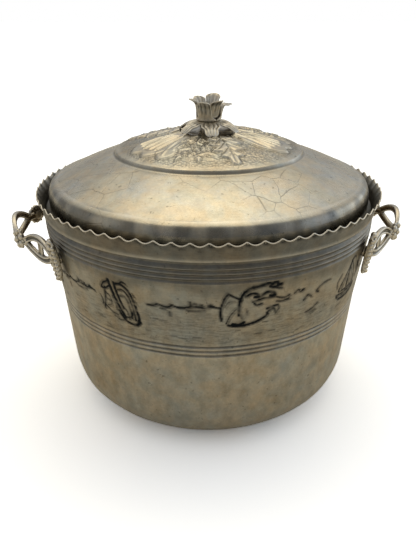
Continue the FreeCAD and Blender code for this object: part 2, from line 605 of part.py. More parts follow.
def handle(node, side):
    centre_x, bend, turn, end_x, end_y = bow_plan()
    eye_y = end_y - size("side_eye_offset")
    flower_y = eye_y - size("side_eye_length") / 2 - size("flower_offset")
    strand = 2 * size("strand_width")
    tip = 2 * size("eye_tip")
    solids, cuts, keeps = [], [], []
    eyes = [("near", -eye_y, "side"), ("middle", 0.0, "middle"), ("far", eye_y, "side")]
    for tag, y, kind in eyes:
        length, height = size(kind + "_eye_length"), size(kind + "_eye_height")
        keeps.append(lens("%s_%s_strands" % (node, tag), y, length + tip, height + strand))
        cuts.append(lens("%s_%s_eye" % (node, tag), y, length, height))
    keep = doc.addObject("Part::MultiFuse", node + "_strands")
    keep.Shapes = keeps
    band = doc.addObject("Part::Common", node + "_bow")
    band.Base, band.Tool = bow_band(node), keep
    open_band = doc.addObject("Part::Cut", node + "_open_bow")
    eye_cuts = doc.addObject("Part::MultiFuse", node + "_eyes")
    eye_cuts.Shapes = cuts
    open_band.Base, open_band.Tool = band, eye_cuts
    solids.append(open_band)

    for tag, sign in (("near", -1), ("far", 1)):
        at, away = bow_point(sign * eye_y)
        bar = doc.addObject("Part::Box", "%s_%s_bar" % (node, tag))
        bind(bar, "Length", "0.8 * bow_thickness")
        bind(bar, "Width", "eye_bar")
        bind(bar, "Height", "side_eye_height + 0.5 * strand_width")
        turned = Rotation(Vector(0, 0, 1), math.degrees(math.atan2(away.y, away.x)))
        shift = Vector(-0.4 * size("bow_thickness"), -size("eye_bar") / 2,
                       -size("side_eye_height") / 2 - 0.25 * size("strand_width"))
        bar.Placement = Placement(at + turned.multVec(shift), turned)
        solids.append(bar)

        at, away = bow_point(sign * flower_y)
        facing = Rotation(Vector(0, 0, 1), away)
        disc = tube_along("%s_%s_rosette" % (node, tag),
                          Placement(at - away * (size("bow_thickness") / 2 - 0.2), facing),
                          "flower_radius - 1.2", "bow_thickness + 0.6")
        solids.append(disc)
        face = at + away * (size("bow_thickness") / 2 + 0.1)
        solids.append(ball("%s_%s_heart" % (node, tag), face + away * 0.8, "0.30 * flower_radius"))
        for k in range(int(size("flower_petals"))):
            around = 2 * math.pi * (k + 0.5) / size("flower_petals")
            spot = facing.multVec(Vector(math.cos(around), math.sin(around), 0) * (0.62 * size("flower_radius")))
            solids.append(ball("%s_%s_petal%d" % (node, tag, k), face + spot - away * 0.3,
                               "0.38 * flower_radius"))

        solids.append(foot_plate(node, sign, tag))
        solids.append(tube_along("%s_%s_pad" % (node, tag), foot_frame(0, sign, -1.0),
                                 "rivet_pad_radius", "foot_standoff + 1.2"))
        for edge in (-1, 1):
            for k in range(int(size("bead_count"))):
                v = size("foot_top") * 0.60 - k * size("bead_pitch")
                frame = foot_frame(0, sign, size("foot_standoff") + size("foot_thickness") - 0.3,
                                   edge * (size("foot_width") / 2 - 0.75 * size("bead_radius")), v)
                solids.append(ball("%s_%s_bead%d_%d" % (node, tag, edge + 1, k), frame.Base, "bead_radius"))

    cast = doc.addObject("Part::MultiFuse", node + "_cast")
    cast.Shapes = solids
    cutters = []
    wall = doc.addObject("Part::Cone", node + "_wall")
    low, high = "band_foot_height + line_half_width", "%s - neck_height" % COLLAR_Z
    bind(wall, "Radius1", "band_foot_radius")
    bind(wall, "Radius2", "neck_radius - 0.3")
    bind(wall, "Height", "%s - (%s)" % (high, low))
    bind(wall, ".Placement.Base.z", low)
    cutters.append(wall)
    for tag, sign in (("near", -1), ("far", 1)):
        cutters.append(tube_along("%s_%s_hole" % (node, tag), foot_frame(0, sign, -2.0),
                                  "rivet_radius + rivet_clearance", "foot_standoff + foot_thickness + 6"))
    tools = doc.addObject("Part::MultiFuse", node + "_cutters")
    tools.Shapes = cutters
    done = doc.addObject("Part::Cut", node + "_finished")
    done.Base, done.Tool = cast, tools
    done.Label = node
    done.Placement = Placement(Vector(), Rotation(Vector(0, 0, 1), side))
    parts[node] = done
    doc.recompute()
    return done


def rivet(node, side, turn):
    body = new_body(node)
    wall = "(bowl_sheet / sqrt(1 + %s ^ 2))" % WALL_RUN
    under = "(-%s - rivet_seat_gap)" % wall
    head = "rivet_head_radius"
    section = [("0", "foot_standoff + foot_thickness"), ("0", "%s - rivet_head_height" % under),
               ("0.45 * %s" % head, "%s - 0.9 * rivet_head_height" % under),
               ("0.85 * %s" % head, "%s - 0.5 * rivet_head_height" % under),
               (head, under), ("rivet_radius", under), ("rivet_radius", "foot_standoff + foot_thickness")]
    revolve(body, outline(new_sketch(body, "XZ_Plane", node + "_section"), section), name=node + "_turned")
    body.Placement = foot_frame(side, turn)
    return body


# ---------------------------------------------------------------- build, check, write
bowl_shell()
lid_shell()
finial_stem()
finial_leaves()
petal_cup("finial_outer_petals", OUTER_TOP, "0", "petal_turn", "0")
petal_cup("finial_inner_petals", INNER_TOP, "finial_sheet + petal_gap", "petal_turn + 180 / petal_count",
          "inner_cup_rise")
finial_screw()
finial_washer()
finial_nut()
handle("right_handle", 0)
handle("left_handle", 180)
for rivet_node, rivet_side, rivet_turn in RIVETS:
    rivet(rivet_node, rivet_side, rivet_turn)
doc.recompute()

failed = [o.Name for o in doc.Objects if "Invalid" in o.State or "Error" in o.State]
if failed:
    raise RuntimeError("failed objects: " + ", ".join(failed))
for node, obj in parts.items():
    shape = obj.Shape
    if shape.isNull() or not shape.isValid() or len(shape.Solids) != 1:
        raise RuntimeError("%s: null %s, valid %s, solids %d" % (
            node, shape.isNull(), shape.isValid(), len(shape.Solids)))
os.makedirs("parts", exist_ok=True)
for node, obj in parts.items():
    obj.Shape.exportStep(os.path.join("parts", node + ".step"))
    box = obj.Shape.BoundBox
    print("%-22s %9.1f mm3  x %.1f..%.1f  y %.1f..%.1f  z %.1f..%.1f" % (
        node, obj.Shape.Volume, box.XMin, box.XMax, box.YMin, box.YMax, box.ZMin, box.ZMax))
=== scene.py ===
"""Looks of the covered serving bowl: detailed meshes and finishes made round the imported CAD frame."""

import json
import math

import bpy
import numpy as np
from mathutils import Matrix, Vector

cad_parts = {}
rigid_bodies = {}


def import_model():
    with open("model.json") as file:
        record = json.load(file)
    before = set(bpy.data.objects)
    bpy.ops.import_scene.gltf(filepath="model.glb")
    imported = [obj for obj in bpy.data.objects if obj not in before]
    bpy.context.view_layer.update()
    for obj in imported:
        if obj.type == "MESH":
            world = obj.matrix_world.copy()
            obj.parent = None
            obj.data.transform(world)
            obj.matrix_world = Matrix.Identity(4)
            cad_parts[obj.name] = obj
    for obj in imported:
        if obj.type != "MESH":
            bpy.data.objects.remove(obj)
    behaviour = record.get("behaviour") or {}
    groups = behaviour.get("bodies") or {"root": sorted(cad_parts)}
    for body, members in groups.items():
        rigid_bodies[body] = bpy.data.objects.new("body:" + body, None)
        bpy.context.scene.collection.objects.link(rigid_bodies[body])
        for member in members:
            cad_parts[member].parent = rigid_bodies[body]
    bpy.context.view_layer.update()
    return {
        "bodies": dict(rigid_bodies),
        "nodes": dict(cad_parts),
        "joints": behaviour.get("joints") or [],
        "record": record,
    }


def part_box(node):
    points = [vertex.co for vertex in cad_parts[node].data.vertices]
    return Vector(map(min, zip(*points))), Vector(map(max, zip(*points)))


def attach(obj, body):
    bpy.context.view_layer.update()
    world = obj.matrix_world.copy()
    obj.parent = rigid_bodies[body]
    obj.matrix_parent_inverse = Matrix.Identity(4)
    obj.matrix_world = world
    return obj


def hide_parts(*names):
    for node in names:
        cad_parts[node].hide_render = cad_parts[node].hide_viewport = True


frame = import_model()

MM = 0.001
SEED = 11

# ---------------------------------------------------------------- sizes, in millimetres
LID_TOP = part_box("lid_shell")[1].z / MM
LID_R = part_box("lid_shell")[1].x / MM
BODY_H = 148.2              # mean height of the rim
SHEET = 1.6                 # thickness of the bowl
LID_SHEET = 1.5
COLLAR_Z = BODY_H - 11.2    # underside of the collar
RIM_FOOT_Z = 141.0          # start of the crimped flare
NECK_R = 111.0
NECK_Z = COLLAR_Z - 12.2    # top of the engraved band
WALL_TOP_R = NECK_R - 0.3   # plain wall under the neck
RIDGE_PITCH = 2.8
BAND_FOOT_R = 105.5
BAND_FOOT_Z = 81.4          # highest of the three line grooves
LINE_PITCH = 3.05
LINES_END_Z = 73.9
LINES_END_R = 105.0
WALL_SLOPE = 0.064
CORNER_R = 31.0
CORNER_X = LINES_END_R + WALL_SLOPE * (CORNER_R - LINES_END_Z) - CORNER_R * math.hypot(1, WALL_SLOPE)
SCALLOPS = 76
SCALLOP_RISE = 2.2
SCALLOP_SHIFT = math.radians(0.8)
LEDGE_Z = COLLAR_Z + SHEET - 0.2
LEDGE_R = 105.4
RECESS_R = 109.2
BOSS_R = 61.0               # raised centre of the lid
BOSS_DROP = 10.4
BOSS_EDGE_Z = LID_TOP - BOSS_DROP
STEP_RUN, STEP_DROP = 4.2, 3.1    # step from the raised centre down to the slope
CREASE_R = LID_R - 7.5      # where the lid's slope turns down
CREASE_Z = BODY_H + 7.4

# points round a ring
PLAIN = 180
RIDGED = 240
LID_FINE = 600
LID_UNDER = 160

rng = np.random.default_rng(SEED)


# ---------------------------------------------------------------- numbers
def smooth(low, high, x):
    """0 below low, 1 above high, and an S curve between them."""
    t = np.clip((np.asarray(x, float) - low) / (high - low), 0.0, 1.0)
    return t * t * (3 - 2 * t)


class Waves:
    """Smooth noise that closes round the Z axis: a sum of waves in azimuth and height."""

    def __init__(self, size, count, top_turns):
        self.turns = rng.integers(0, top_turns, count)
        self.rise = rng.normal(0, 1 / size, count)
        self.phase = rng.uniform(0, 2 * math.pi, count)
        self.gain = 1 / np.sqrt(count)

    def __call__(self, azimuth, height):
        out = 0.0
        for turns, rise, phase in zip(self.turns, self.rise, self.phase):
            out = out + np.cos(turns * azimuth + rise * height + phase)
        return out * self.gain


class Flat:
    """Smooth noise over a plane."""

    def __init__(self, size, count=22):
        self.way = rng.normal(0, 1 / size, (count, 2))
        self.phase = rng.uniform(0, 2 * math.pi, count)

    def __call__(self, x, y):
        out = 0.0
        for (wx, wy), phase in zip(self.way, self.phase):
            out = out + np.cos(wx * x + wy * y + phase)
        return out / math.sqrt(len(self.phase))


def hump(x, middle, half):
    """1 at the middle, falling off on both sides."""
    return np.exp(-((x - middle) / half) ** 2)


def curve_through(points, steps):
    """Points on a smooth curve through the given ones."""
    p = np.array([points[0], *points, points[-1]], float)
    out = []
    for a, b, c, d in zip(p, p[1:], p[2:], p[3:]):
        for t in np.arange(steps) / steps:
            out.append(0.5 * (2 * b + (c - a) * t + (2 * a - 5 * b + 4 * c - d) * t ** 2
                              + (3 * b - a - 3 * c + d) * t ** 3))
    out.append(p[-1])
    return np.array(out)


def away_from_line(x, y, line):
    """Distance of each (x, y) from a polyline."""
    best = np.full(np.shape(x), 1e9)
    for a, b in zip(line, line[1:]):
        run = b - a
        t = np.clip(((x - a[0]) * run[0] + (y - a[1]) * run[1]) / max(run @ run, 1e-9), 0, 1)
        best = np.minimum(best, np.hypot(x - a[0] - t * run[0], y - a[1] - t * run[1]))
    return best


def inside_by(x, y, outline):
    """How far each (x, y) lies inside a closed outline, negative outside."""
    ring = np.vstack([outline, outline[:1]])
    within = np.zeros(np.shape(x), bool)
    for a, b in zip(ring, ring[1:]):
        crosses = (a[1] > y) != (b[1] > y)
        rise = b[1] - a[1] if abs(b[1] - a[1]) > 1e-12 else 1e-12
        within ^= crosses & (x < (b[0] - a[0]) * (y - a[1]) / rise + a[0])
    gap = away_from_line(x, y, ring)
    return np.where(within, gap, -gap)


# ---------------------------------------------------------------- meshes
def keep_marks(mesh, marks):
    """Stores numbers per point, by name, for the materials to read."""
    for key, values in marks.items():
        layer = mesh.attributes.new(key, "FLOAT", "POINT")
        layer.data.foreach_set("value", np.asarray(values, np.float32))


def build(name, points, faces, material, marks=None):
    """A smooth-shaded object from points in millimetres. faces are arrays of corners, one row a face.
    marks are numbers per point that the materials read."""
    mesh = bpy.data.meshes.new(name)
    points = np.asarray(points, float)
    mesh.vertices.add(len(points))
    mesh.vertices.foreach_set("co", (points * MM).ravel())
    corners = np.concatenate([np.asarray(f).ravel() for f in faces])
    sizes = np.concatenate([np.full(len(f), np.shape(f)[1]) for f in faces])
    mesh.loops.add(len(corners))
    mesh.loops.foreach_set("vertex_index", corners)
    mesh.polygons.add(len(sizes))
    mesh.polygons.foreach_set("loop_start", np.concatenate([[0], np.cumsum(sizes)[:-1]]))
    mesh.update(calc_edges=True)
    mesh.validate()
    mesh.polygons.foreach_set("use_smooth", np.ones(len(mesh.polygons), bool))
    keep_marks(mesh, marks or {})
    mesh.materials.append(material)
    piece = bpy.data.objects.new(name, mesh)
    bpy.context.scene.collection.objects.link(piece)
    return piece


class Skin:
    """A closed skin round the Z axis: rings of points, each joined to the ring before it."""

    def __init__(self, keys=()):
        self.points, self.quads, self.threes = [], [], []
        self.marks = {k: [] for k in keys}
        self.count, self.last = 0, None

    def ring(self, azimuth, radius, height, **marks):
        azimuth = np.asarray(azimuth, float)
        radius = np.broadcast_to(radius, azimuth.shape)
        height = np.broadcast_to(height, azimuth.shape)
        self.points.append(np.stack([radius * np.sin(azimuth), -radius * np.cos(azimuth), height], -1))
        for k in self.marks:
            self.marks[k].append(np.broadcast_to(marks.get(k, 0.0), azimuth.shape))
        first = self.count
        self.count += len(azimuth)
        if self.last is not None:
            self.join(self.last, (first, azimuth))
        self.last = (first, azimuth)

    def pole(self, height, **marks):
        self.points.append(np.array([[0.0, 0.0, height]]))
        for k in self.marks:
            self.marks[k].append(np.array([marks.get(k, 0.0)]))
        here, self.count = self.count, self.count + 1
        if self.last is None:
            self.last = (here, None)
            return
        first, azimuth = self.last
        n = len(azimuth)
        i = np.arange(n)
        self.threes.append(np.stack([first + i, first + (i + 1) % n, np.full(n, here)], -1))

    def join(self, below, above):
        (a0, a), (b0, b) = below, above
        if a is None:
            i = np.arange(len(b))
            self.threes.append(np.stack([np.full(len(b), a0), b0 + (i + 1) % len(b), b0 + i], -1))
            return
        if len(a) == len(b) and np.allclose(a, b):
            i = np.arange(len(a))
            j = (i + 1) % len(a)
            self.quads.append(np.stack([a0 + i, a0 + j, b0 + j, b0 + i], -1))
            return
        i = j = 0
        rows = []
        na, nb = len(a), len(b)
        turn = 2 * math.pi
        while i < na or j < nb:
            next_a = a[(i + 1) % na] + (turn if i + 1 >= na else 0)
            next_b = b[(j + 1) % nb] + (turn if j + 1 >= nb else 0)
            if j >= nb or (i < na and next_a <= next_b):
                rows.append((a0 + i % na, a0 + (i + 1) % na, b0 + j % nb))
                i += 1
            else:
                rows.append((a0 + i % na, b0 + (j + 1) % nb, b0 + j % nb))
                j += 1
        self.threes.append(np.array(rows))

    def piece(self, name, material):
        faces = [np.concatenate(f) for f in (self.quads, self.threes) if f]
        marks = {k: np.concatenate(v) for k, v in self.marks.items()}
        return build(name, np.concatenate(self.points), faces, material, marks)


def around(count):
    return np.arange(count) * 2 * math.pi / count


# ---------------------------------------------------------------- materials
def node(tree, kind, **values):
    made = tree.nodes.new(kind)
    for key, value in values.items():
        setattr(made, key, value)
    return made


def scaled(tree, source, scale):
    """A texture position stretched by scale, per axis."""
    mapping = node(tree, "ShaderNodeMapping")
    mapping.inputs["Scale"].default_value = scale
    tree.links.new(source, mapping.inputs["Vector"])
    return mapping.outputs["Vector"]


def noise(tree, where, scale, detail=3.0, rough=0.55, twist=0.0):
    made = node(tree, "ShaderNodeTexNoise")
    made.inputs["Scale"].default_value = scale
    made.inputs["Detail"].default_value = detail
    made.inputs["Roughness"].default_value = rough
    made.inputs["Distortion"].default_value = twist
    tree.links.new(where, made.inputs["Vector"])
    return made.outputs["Fac"]


def ramp(tree, source, stops):
    """Colour or grey ramp: stops are (place, value), a value being a number or three of them."""
    made = node(tree, "ShaderNodeValToRGB")
    while len(made.color_ramp.elements) < len(stops):
        made.color_ramp.elements.new(0.5)
    for element, (place, value) in zip(made.color_ramp.elements, stops):
        element.position = place
        value = (value,) * 3 if isinstance(value, (int, float)) else value
        element.color = (*value, 1.0)
    tree.links.new(source, made.inputs["Fac"])
    return made.outputs["Color"]


def blend_in(tree, under, over, amount, mode="MIX"):
    """over laid on under by amount, a number or a socket."""
    made = node(tree, "ShaderNodeMix", data_type="RGBA", blend_type=mode)
    for key, value in (("Factor", amount), ("A", under), ("B", over)):
        socket = [s for s in made.inputs if s.name == key and s.enabled][0]
        if isinstance(value, bpy.types.NodeSocket):
            tree.links.new(value, socket)
        elif key == "Factor":
            socket.default_value = value
        else:
            socket.default_value = (*value, 1.0)
    return [s for s in made.outputs if s.enabled][0]


def sums(tree, operation, a, b):
    made = node(tree, "ShaderNodeMath", operation=operation)
    for socket, value in zip(made.inputs, (a, b)):
        if isinstance(value, bpy.types.NodeSocket):
            tree.links.new(value, socket)
        else:
            socket.default_value = value
    return made.outputs[0]


def mark(tree, key):
    return node(tree, "ShaderNodeAttribute", attribute_name=key).outputs["Fac"]


# Colours the numbers per point lay on: soiling with painted shade, tarnish, the near black of engraved lines
# and of painted shadows, worn bright metal with painted highlights, and crackle.
SHADE_AND_DIRT = (0.050, 0.054, 0.055)
TARNISH = (0.13, 0.085, 0.04)
CUT_AND_SHADOW_BLACK = (0.012, 0.015, 0.018)
BARE_AND_HIGHLIGHT = (0.86, 0.82, 0.74)
CRACK = (0.16, 0.14, 0.11)


def aged_metal(name, cool, warm, brown, rough=(0.26, 0.46), patch=22.0, spun=0.35, scratches=0.0, marks=True,
               lined=False, blotched=0.6):
    """Old aluminium: blotches of cool grey, warm grey and brown, and fine turning lines.

    patch is how fine the blotches are, rough the range of roughness; spun, scratches and blotched are
    strengths. marks and lined let the numbers per point darken, brighten and stain the metal: soiling with
    painted shade, worn bright metal with painted highlights, tarnish, turning lines, and the near black of
    engraved lines with painted shadows.
    """
    material = bpy.data.materials.new(name)
    material.use_nodes = True
    tree = material.node_tree
    shader = tree.nodes["Principled BSDF"]
    shader.inputs["Metallic"].default_value = 1.0
    where = node(tree, "ShaderNodeTexCoord").outputs["Object"]

    patches = noise(tree, where, patch, 6.0, 0.68, 0.4)
    colour = ramp(tree, patches, [(0.33, cool), (0.50, warm), (0.70, brown)])
    tint = noise(tree, where, patch * 4.2, 4.0, 0.6)
    tints = ramp(tree, tint, [(0.38, (0.92, 0.98, 1.03)), (0.64, (1.10, 0.99, 0.86))])
    colour = blend_in(tree, colour, tints, 0.55, "MULTIPLY")
    streak = noise(tree, scaled(tree, where, (1.0, 1.0, 0.7)), patch * 7.0, 4.0, 0.62)
    colour = blend_in(tree, colour, ramp(tree, streak, [(0.32, 0.66), (0.62, 1.16)]), blotched, "MULTIPLY")
    if lined:
        lines = noise(tree, scaled(tree, where, (1.0, 1.0, 6.0)), 170.0, 4.0, 0.7, 0.6)
        colour = blend_in(tree, colour, ramp(tree, lines, [(0.36, 0.42), (0.60, 1.15)]),
                          sums(tree, "MULTIPLY", mark(tree, "lines"), 0.55), "MULTIPLY")
    grain = noise(tree, where, patch * 34, 4.0, 0.7)
    colour = blend_in(tree, colour, ramp(tree, grain, [(0.30, 0.80), (0.66, 1.10)]), 0.55, "MULTIPLY")
    pits = noise(tree, where, patch * 16, 2.0, 0.5)
    colour = blend_in(tree, colour, ramp(tree, pits, [(0.26, 0.40), (0.33, 1.0)]), 0.65, "MULTIPLY")

    gloss = ramp(tree, noise(tree, where, patch * 2.2, 5.0, 0.65), [(0.35, rough[0]), (0.66, rough[1])])
    height = sums(tree, "MULTIPLY", grain, 0.30)
    height = sums(tree, "ADD", height, sums(tree, "MULTIPLY", streak, 0.25))

    turned = node(tree, "ShaderNodeVectorMath", operation="LENGTH")
    flat = node(tree, "ShaderNodeVectorMath", operation="MULTIPLY")
    flat.inputs[1].default_value = (1.0, 1.0, 0.0)
    tree.links.new(where, flat.inputs[0])
    tree.links.new(flat.outputs[0], turned.inputs[0])
    split = node(tree, "ShaderNodeSeparateXYZ")
    tree.links.new(where, split.inputs[0])
    across = sums(tree, "ADD", turned.outputs["Value"], split.outputs["Z"])
    turning = node(tree, "ShaderNodeTexNoise", noise_dimensions="1D")
    turning.inputs["Scale"].default_value = 1500.0
    turning.inputs["Detail"].default_value = 3.0
    tree.links.new(across, turning.inputs["W"])
    height = sums(tree, "ADD", height, sums(tree, "MULTIPLY", turning.outputs["Fac"], spun))

    if scratches:
        cracks = node(tree, "ShaderNodeTexVoronoi", feature="DISTANCE_TO_EDGE")
        cracks.inputs["Scale"].default_value = 58.0
        wander = noise(tree, where, 55.0, 3.0, 0.6)
        moved = node(tree, "ShaderNodeVectorMath", operation="MULTIPLY_ADD")
        moved.inputs[1].default_value = (0.005, 0.005, 0.005)
        tree.links.new(wander, moved.inputs[0])
        tree.links.new(where, moved.inputs[2])
        tree.links.new(moved.outputs[0], cracks.inputs["Vector"])
        thin = ramp(tree, cracks.outputs["Distance"], [(0.0, 1.0), (0.018, 0.0)])
        where_cracked = ramp(tree, noise(tree, where, 17.0, 2.0), [(0.40, 0.0), (0.52, 1.0)])
        amount = sums(tree, "MULTIPLY", thin, where_cracked)
        amount = sums(tree, "MULTIPLY", amount, mark(tree, "worn"))
        colour = blend_in(tree, colour, CRACK, sums(tree, "MULTIPLY", amount, scratches))
        height = sums(tree, "SUBTRACT", height, sums(tree, "MULTIPLY", amount, 0.8))
    if marks:
        # Painted shade with soiling, tarnish stains, engraved lines with painted shadows, and worn bright
        # metal with painted highlights, each by its number per point
        colour = blend_in(tree, colour, SHADE_AND_DIRT, sums(tree, "MULTIPLY", mark(tree, "recess"), 0.85))
        colour = blend_in(tree, colour, TARNISH, sums(tree, "MULTIPLY", mark(tree, "stain"), 0.8))
        colour = blend_in(tree, colour, CUT_AND_SHADOW_BLACK, mark(tree, "cut"))
        colour = blend_in(tree, colour, BARE_AND_HIGHLIGHT, sums(tree, "MULTIPLY", mark(tree, "rubbed"), 0.75))
        gloss = blend_in(tree, gloss, (0.62, 0.62, 0.62), mark(tree, "cut"))
    bump = node(tree, "ShaderNodeBump")
    bump.inputs["Strength"].default_value = 0.35
    bump.inputs["Distance"].default_value = 0.00035
    tree.links.new(height, bump.inputs["Height"])
    tree.links.new(bump.outputs["Normal"], shader.inputs["Normal"])
    tree.links.new(colour, shader.inputs["Base Color"])
    tree.links.new(gloss, shader.inputs["Roughness"])
    return material


BOWL_METAL = aged_metal("bowl_metal", (0.45, 0.46, 0.44), (0.51, 0.48, 0.41), (0.50, 0.43, 0.32),
                        (0.28, 0.46), lined=True)
LID_METAL = aged_metal("lid_metal", (0.62, 0.62, 0.60), (0.67, 0.63, 0.53), (0.60, 0.53, 0.41), (0.22, 0.38),
                       scratches=0.5, blotched=0.3)
FINIAL_METAL = aged_metal("finial_metal", (0.58, 0.57, 0.53), (0.60, 0.56, 0.48), (0.46, 0.38, 0.26),
                          (0.28, 0.42), patch=60.0, spun=0.0)
HANDLE_METAL = aged_metal("handle_metal", (0.46, 0.46, 0.44), (0.50, 0.46, 0.38), (0.36, 0.29, 0.18),
                          (0.22, 0.36), patch=55.0, spun=0.0)
RIVET_METAL = aged_metal("rivet_metal", (0.50, 0.49, 0.46), (0.54, 0.50, 0.43), (0.40, 0.33, 0.24),
                         (0.30, 0.45), patch=60.0, spun=0.0, marks=False)
SCREW_METAL = aged_metal("screw_metal", (0.40, 0.40, 0.39), (0.44, 0.41, 0.36), (0.30, 0.22, 0.14),
                         (0.32, 0.50), patch=60.0, spun=0.2, marks=False)


# ---------------------------------------------------------------- engraving
# Each stroke is (width, strength, points); points are millimetres right of and above the motif's middle.
GALLEON = [
    (1.7, 1.0, [(-5.5, 13.5), (-3.2, 5), (0.3, -4), (3.2, -10)]),
    (1.3, 1.0, [(-1.6, 12.8), (-1.0, 8), (0.6, 2), (2.6, -3.5)]),
    (1.3, 0.9, [(-1.6, 12), (3, 12.4), (7, 9.4), (9.4, 4), (10.8, -2), (11.8, -8), (11.2, -12)]),
    (1.0, 0.8, [(0.4, 8.4), (4, 8.8), (6.8, 5.4), (8.4, 0), (9.3, -6), (9.6, -10.5)]),
    (1.0, 0.7, [(1.6, 4.4), (4.4, 4.8), (6.2, 1.4), (7.2, -4), (7.4, -9.5)]),
    (1.3, 1.0, [(-1, -6), (2, -11), (6, -13.4), (10, -13.6), (12.4, -11)]),
    (0.9, 0.8, [(1, -7.4), (4, -9.4), (7.4, -8), (8, -5)]),
    (0.8, 0.7, [(2.6, -2), (5, -6), (5.6, -10.5)]),
    (1.0, 0.9, [(-5.8, 12.6), (-9.4, 10.6), (-11.4, 7), (-8, 7.6), (-6, 9)]),
    (1.0, 0.8, [(-9, 8), (-9.6, 1), (-11.6, -7)]),
    (0.8, 0.7, [(-9.2, 4.6), (-6.2, 2.6), (-5.4, -2.6), (-8.6, -4.4)]),
    (0.8, 0.6, [(-9.4, 0.6), (-6.2, -0.8)]),
    (0.9, 0.7, [(-12.4, -3.4), (-9, -6), (-5.4, -8.6), (-2, -9.4)]),
    (0.8, 0.6, [(-13.4, 1.4), (-12.2, -1.8), (-12.8, -4.8)]),
    (0.8, 0.6, [(-4.2, 3), (-2.4, -2.4), (-2.0, -6.4)]),
    (0.9, 0.7, [(-4.6, -10.6), (-1.4, -12.4), (1.6, -12.2)]),
    (0.9, 0.8, [(2.2, 12.9), (4.2, 14.4), (6.4, 13.2)]),
    (0.8, 0.6, [(9.6, 8.2), (10.8, 5.6)]),
    (0.8, 0.6, [(10.8, 3.4), (11.8, 0.8)]),
]
CARAVEL = [
    (1.1, 0.9, [(-16.2, -9), (-16.8, -2), (-15, 5), (-12.8, 8.6)]),
    (1.0, 0.9, [(-12.8, 8.6), (-9.4, 6.2), (-5.8, 4.4)]),
    (0.8, 0.7, [(-13.4, -11), (-11.2, -5.6), (-8.2, -1.8), (-5.8, 0)]),
    (0.7, 0.5, [(-14.6, 0), (-12.4, 3.2), (-9, 3.8)]),
    (1.2, 1.0, [(-6.6, -6), (-6.8, 0), (-5.8, 5.4), (-3.6, 9.4), (0.4, 11.6), (5.6, 12.4)]),
    (1.1, 1.0, [(-4.2, 9.2), (1.8, 11.6), (8.2, 12.8)]),
    (1.5, 1.0, [(8.2, 14.6), (10.6, 12.4), (13.4, 13.6), (14.4, 11.2)]),
    (1.4, 1.0, [(9.8, 11.2), (12.6, 10.2), (16.2, 11.6)]),
    (1.0, 0.8, [(13.8, 9.4), (16.8, 9.0)]),
    (1.3, 0.9, [(-3.4, 5.8), (-0.6, 7.6), (2.6, 7.2), (4.2, 5.4), (1.6, 5.2)]),
    (1.5, 0.9, [(5.8, 6.0), (8.8, 7.6), (12.2, 6.8), (13.2, 4.6), (10.4, 5.0)]),
    (1.0, 0.8, [(0.8, 2.2), (5.8, 3.6), (12.2, 4.0), (15.4, 3.0)]),
    (1.0, 0.7, [(1.6, 1.2), (3.2, -0.4), (6.2, 0.6)]),
    (0.8, 0.5, [(-6.4, -1), (-5.2, -7), (-4.6, -9)]),
    (0.8, 0.5, [(-2.4, -2.4), (-1.8, -6.4)]),
    (1.0, 0.8, [(14.6, 0.4), (18.2, 0.0), (22.4, 0.8)]),
    (0.9, 0.8, [(16.2, 2.6), (19.6, 2.0), (22.6, 3.2)]),
    (1.3, 0.9, [(-12.2, -12.4), (-7, -13.6), (-1, -12.8), (4.6, -11.2), (9.2, -8.4), (9.8, -6.2)]),
    (1.5, 1.0, [(-9.6, -11.8), (-6.2, -12.6), (-3.4, -11.2)]),
    (1.3, 0.8, [(9.4, -3.6), (12.6, -2.6), (15.8, -2.2)]),
    (1.0, 0.8, [(15.8, -2.2), (16.6, -4.8), (15, -7.6)]),
    (1.3, 0.8, [(10.6, -5.2), (13.4, -4.2), (14.6, -6.2)]),
]
SLOOP = [
    (1.2, 1.0, [(-1, 13), (-1.4, 2), (-1, -8)]),
    (1.0, 0.9, [(-0.6, 12.4), (5.4, 4), (8.4, -5.8), (-0.6, -6.4)]),
    (0.8, 0.6, [(0.6, 7), (4.2, 0.4), (5.6, -4.8)]),
    (0.8, 0.6, [(0.4, 2), (2.6, -4.8)]),
    (1.0, 0.9, [(-1.6, 10), (-6.6, 2), (-10.6, -5.6), (-2.2, -6.6)]),
    (0.8, 0.6, [(-2.6, 4.6), (-5.2, -0.4), (-7.2, -5)]),
    (1.4, 1.0, [(-12.4, -8), (-8.4, -11.6), (1, -12.6), (8.6, -11.4), (11.8, -7.6)]),
    (1.0, 0.9, [(-12.4, -8), (-2, -8.8), (11.8, -7.6)]),
    (0.9, 0.7, [(-9.6, -9.8), (0.4, -10.8), (9.2, -9.6)]),
    (1.1, 0.9, [(-1, 13), (2.2, 14.2), (4.6, 13)]),
    (0.9, 0.7, [(12.2, -3.6), (13.4, 2.4), (10.6, 7.4)]),
    (0.9, 0.7, [(-13.4, -2.6), (-14.2, 2.2), (-11.2, 6.8)]),
    (0.8, 0.6, [(10.4, -2.8), (11.2, 1.6), (9.2, 5.4)]),
]
COAST = [
    (0.9, 0.9, [(-20, -1.4), (-16, -1.2), (-13.4, 0.2), (-11, -0.8), (-7, -1.0), (-5.2, 0.8), (-3, -0.6),
                (1, -0.8), (3.4, 0.0), (5.6, 0.2), (9, 0.4), (12.6, -0.4), (16, 0.6), (20, -0.4)]),
    (1.1, 0.9, [(4.4, 0.2), (4.8, 3.2), (5.2, 0.2)]),
    (1.2, 0.8, [(6.2, 0.6), (6.4, 2.0), (8.2, 2.0), (8.4, 0.6)]),
    (1.1, 0.8, [(9.4, 0.6), (10.6, 1.8), (11.8, 0.6)]),
    (1.2, 0.7, [(14.4, 0.8), (15.6, 1.8), (17.2, 0.8)]),
    (0.8, 0.6, [(-12, -2.4), (-9, -2.6)]),
    (0.8, 0.6, [(2.2, -2.2), (7.2, -2.4), (12.4, -1.8)]),
    (1.0, 0.6, [(-6.6, -4.2), (-7.2, -7.0)]),
]
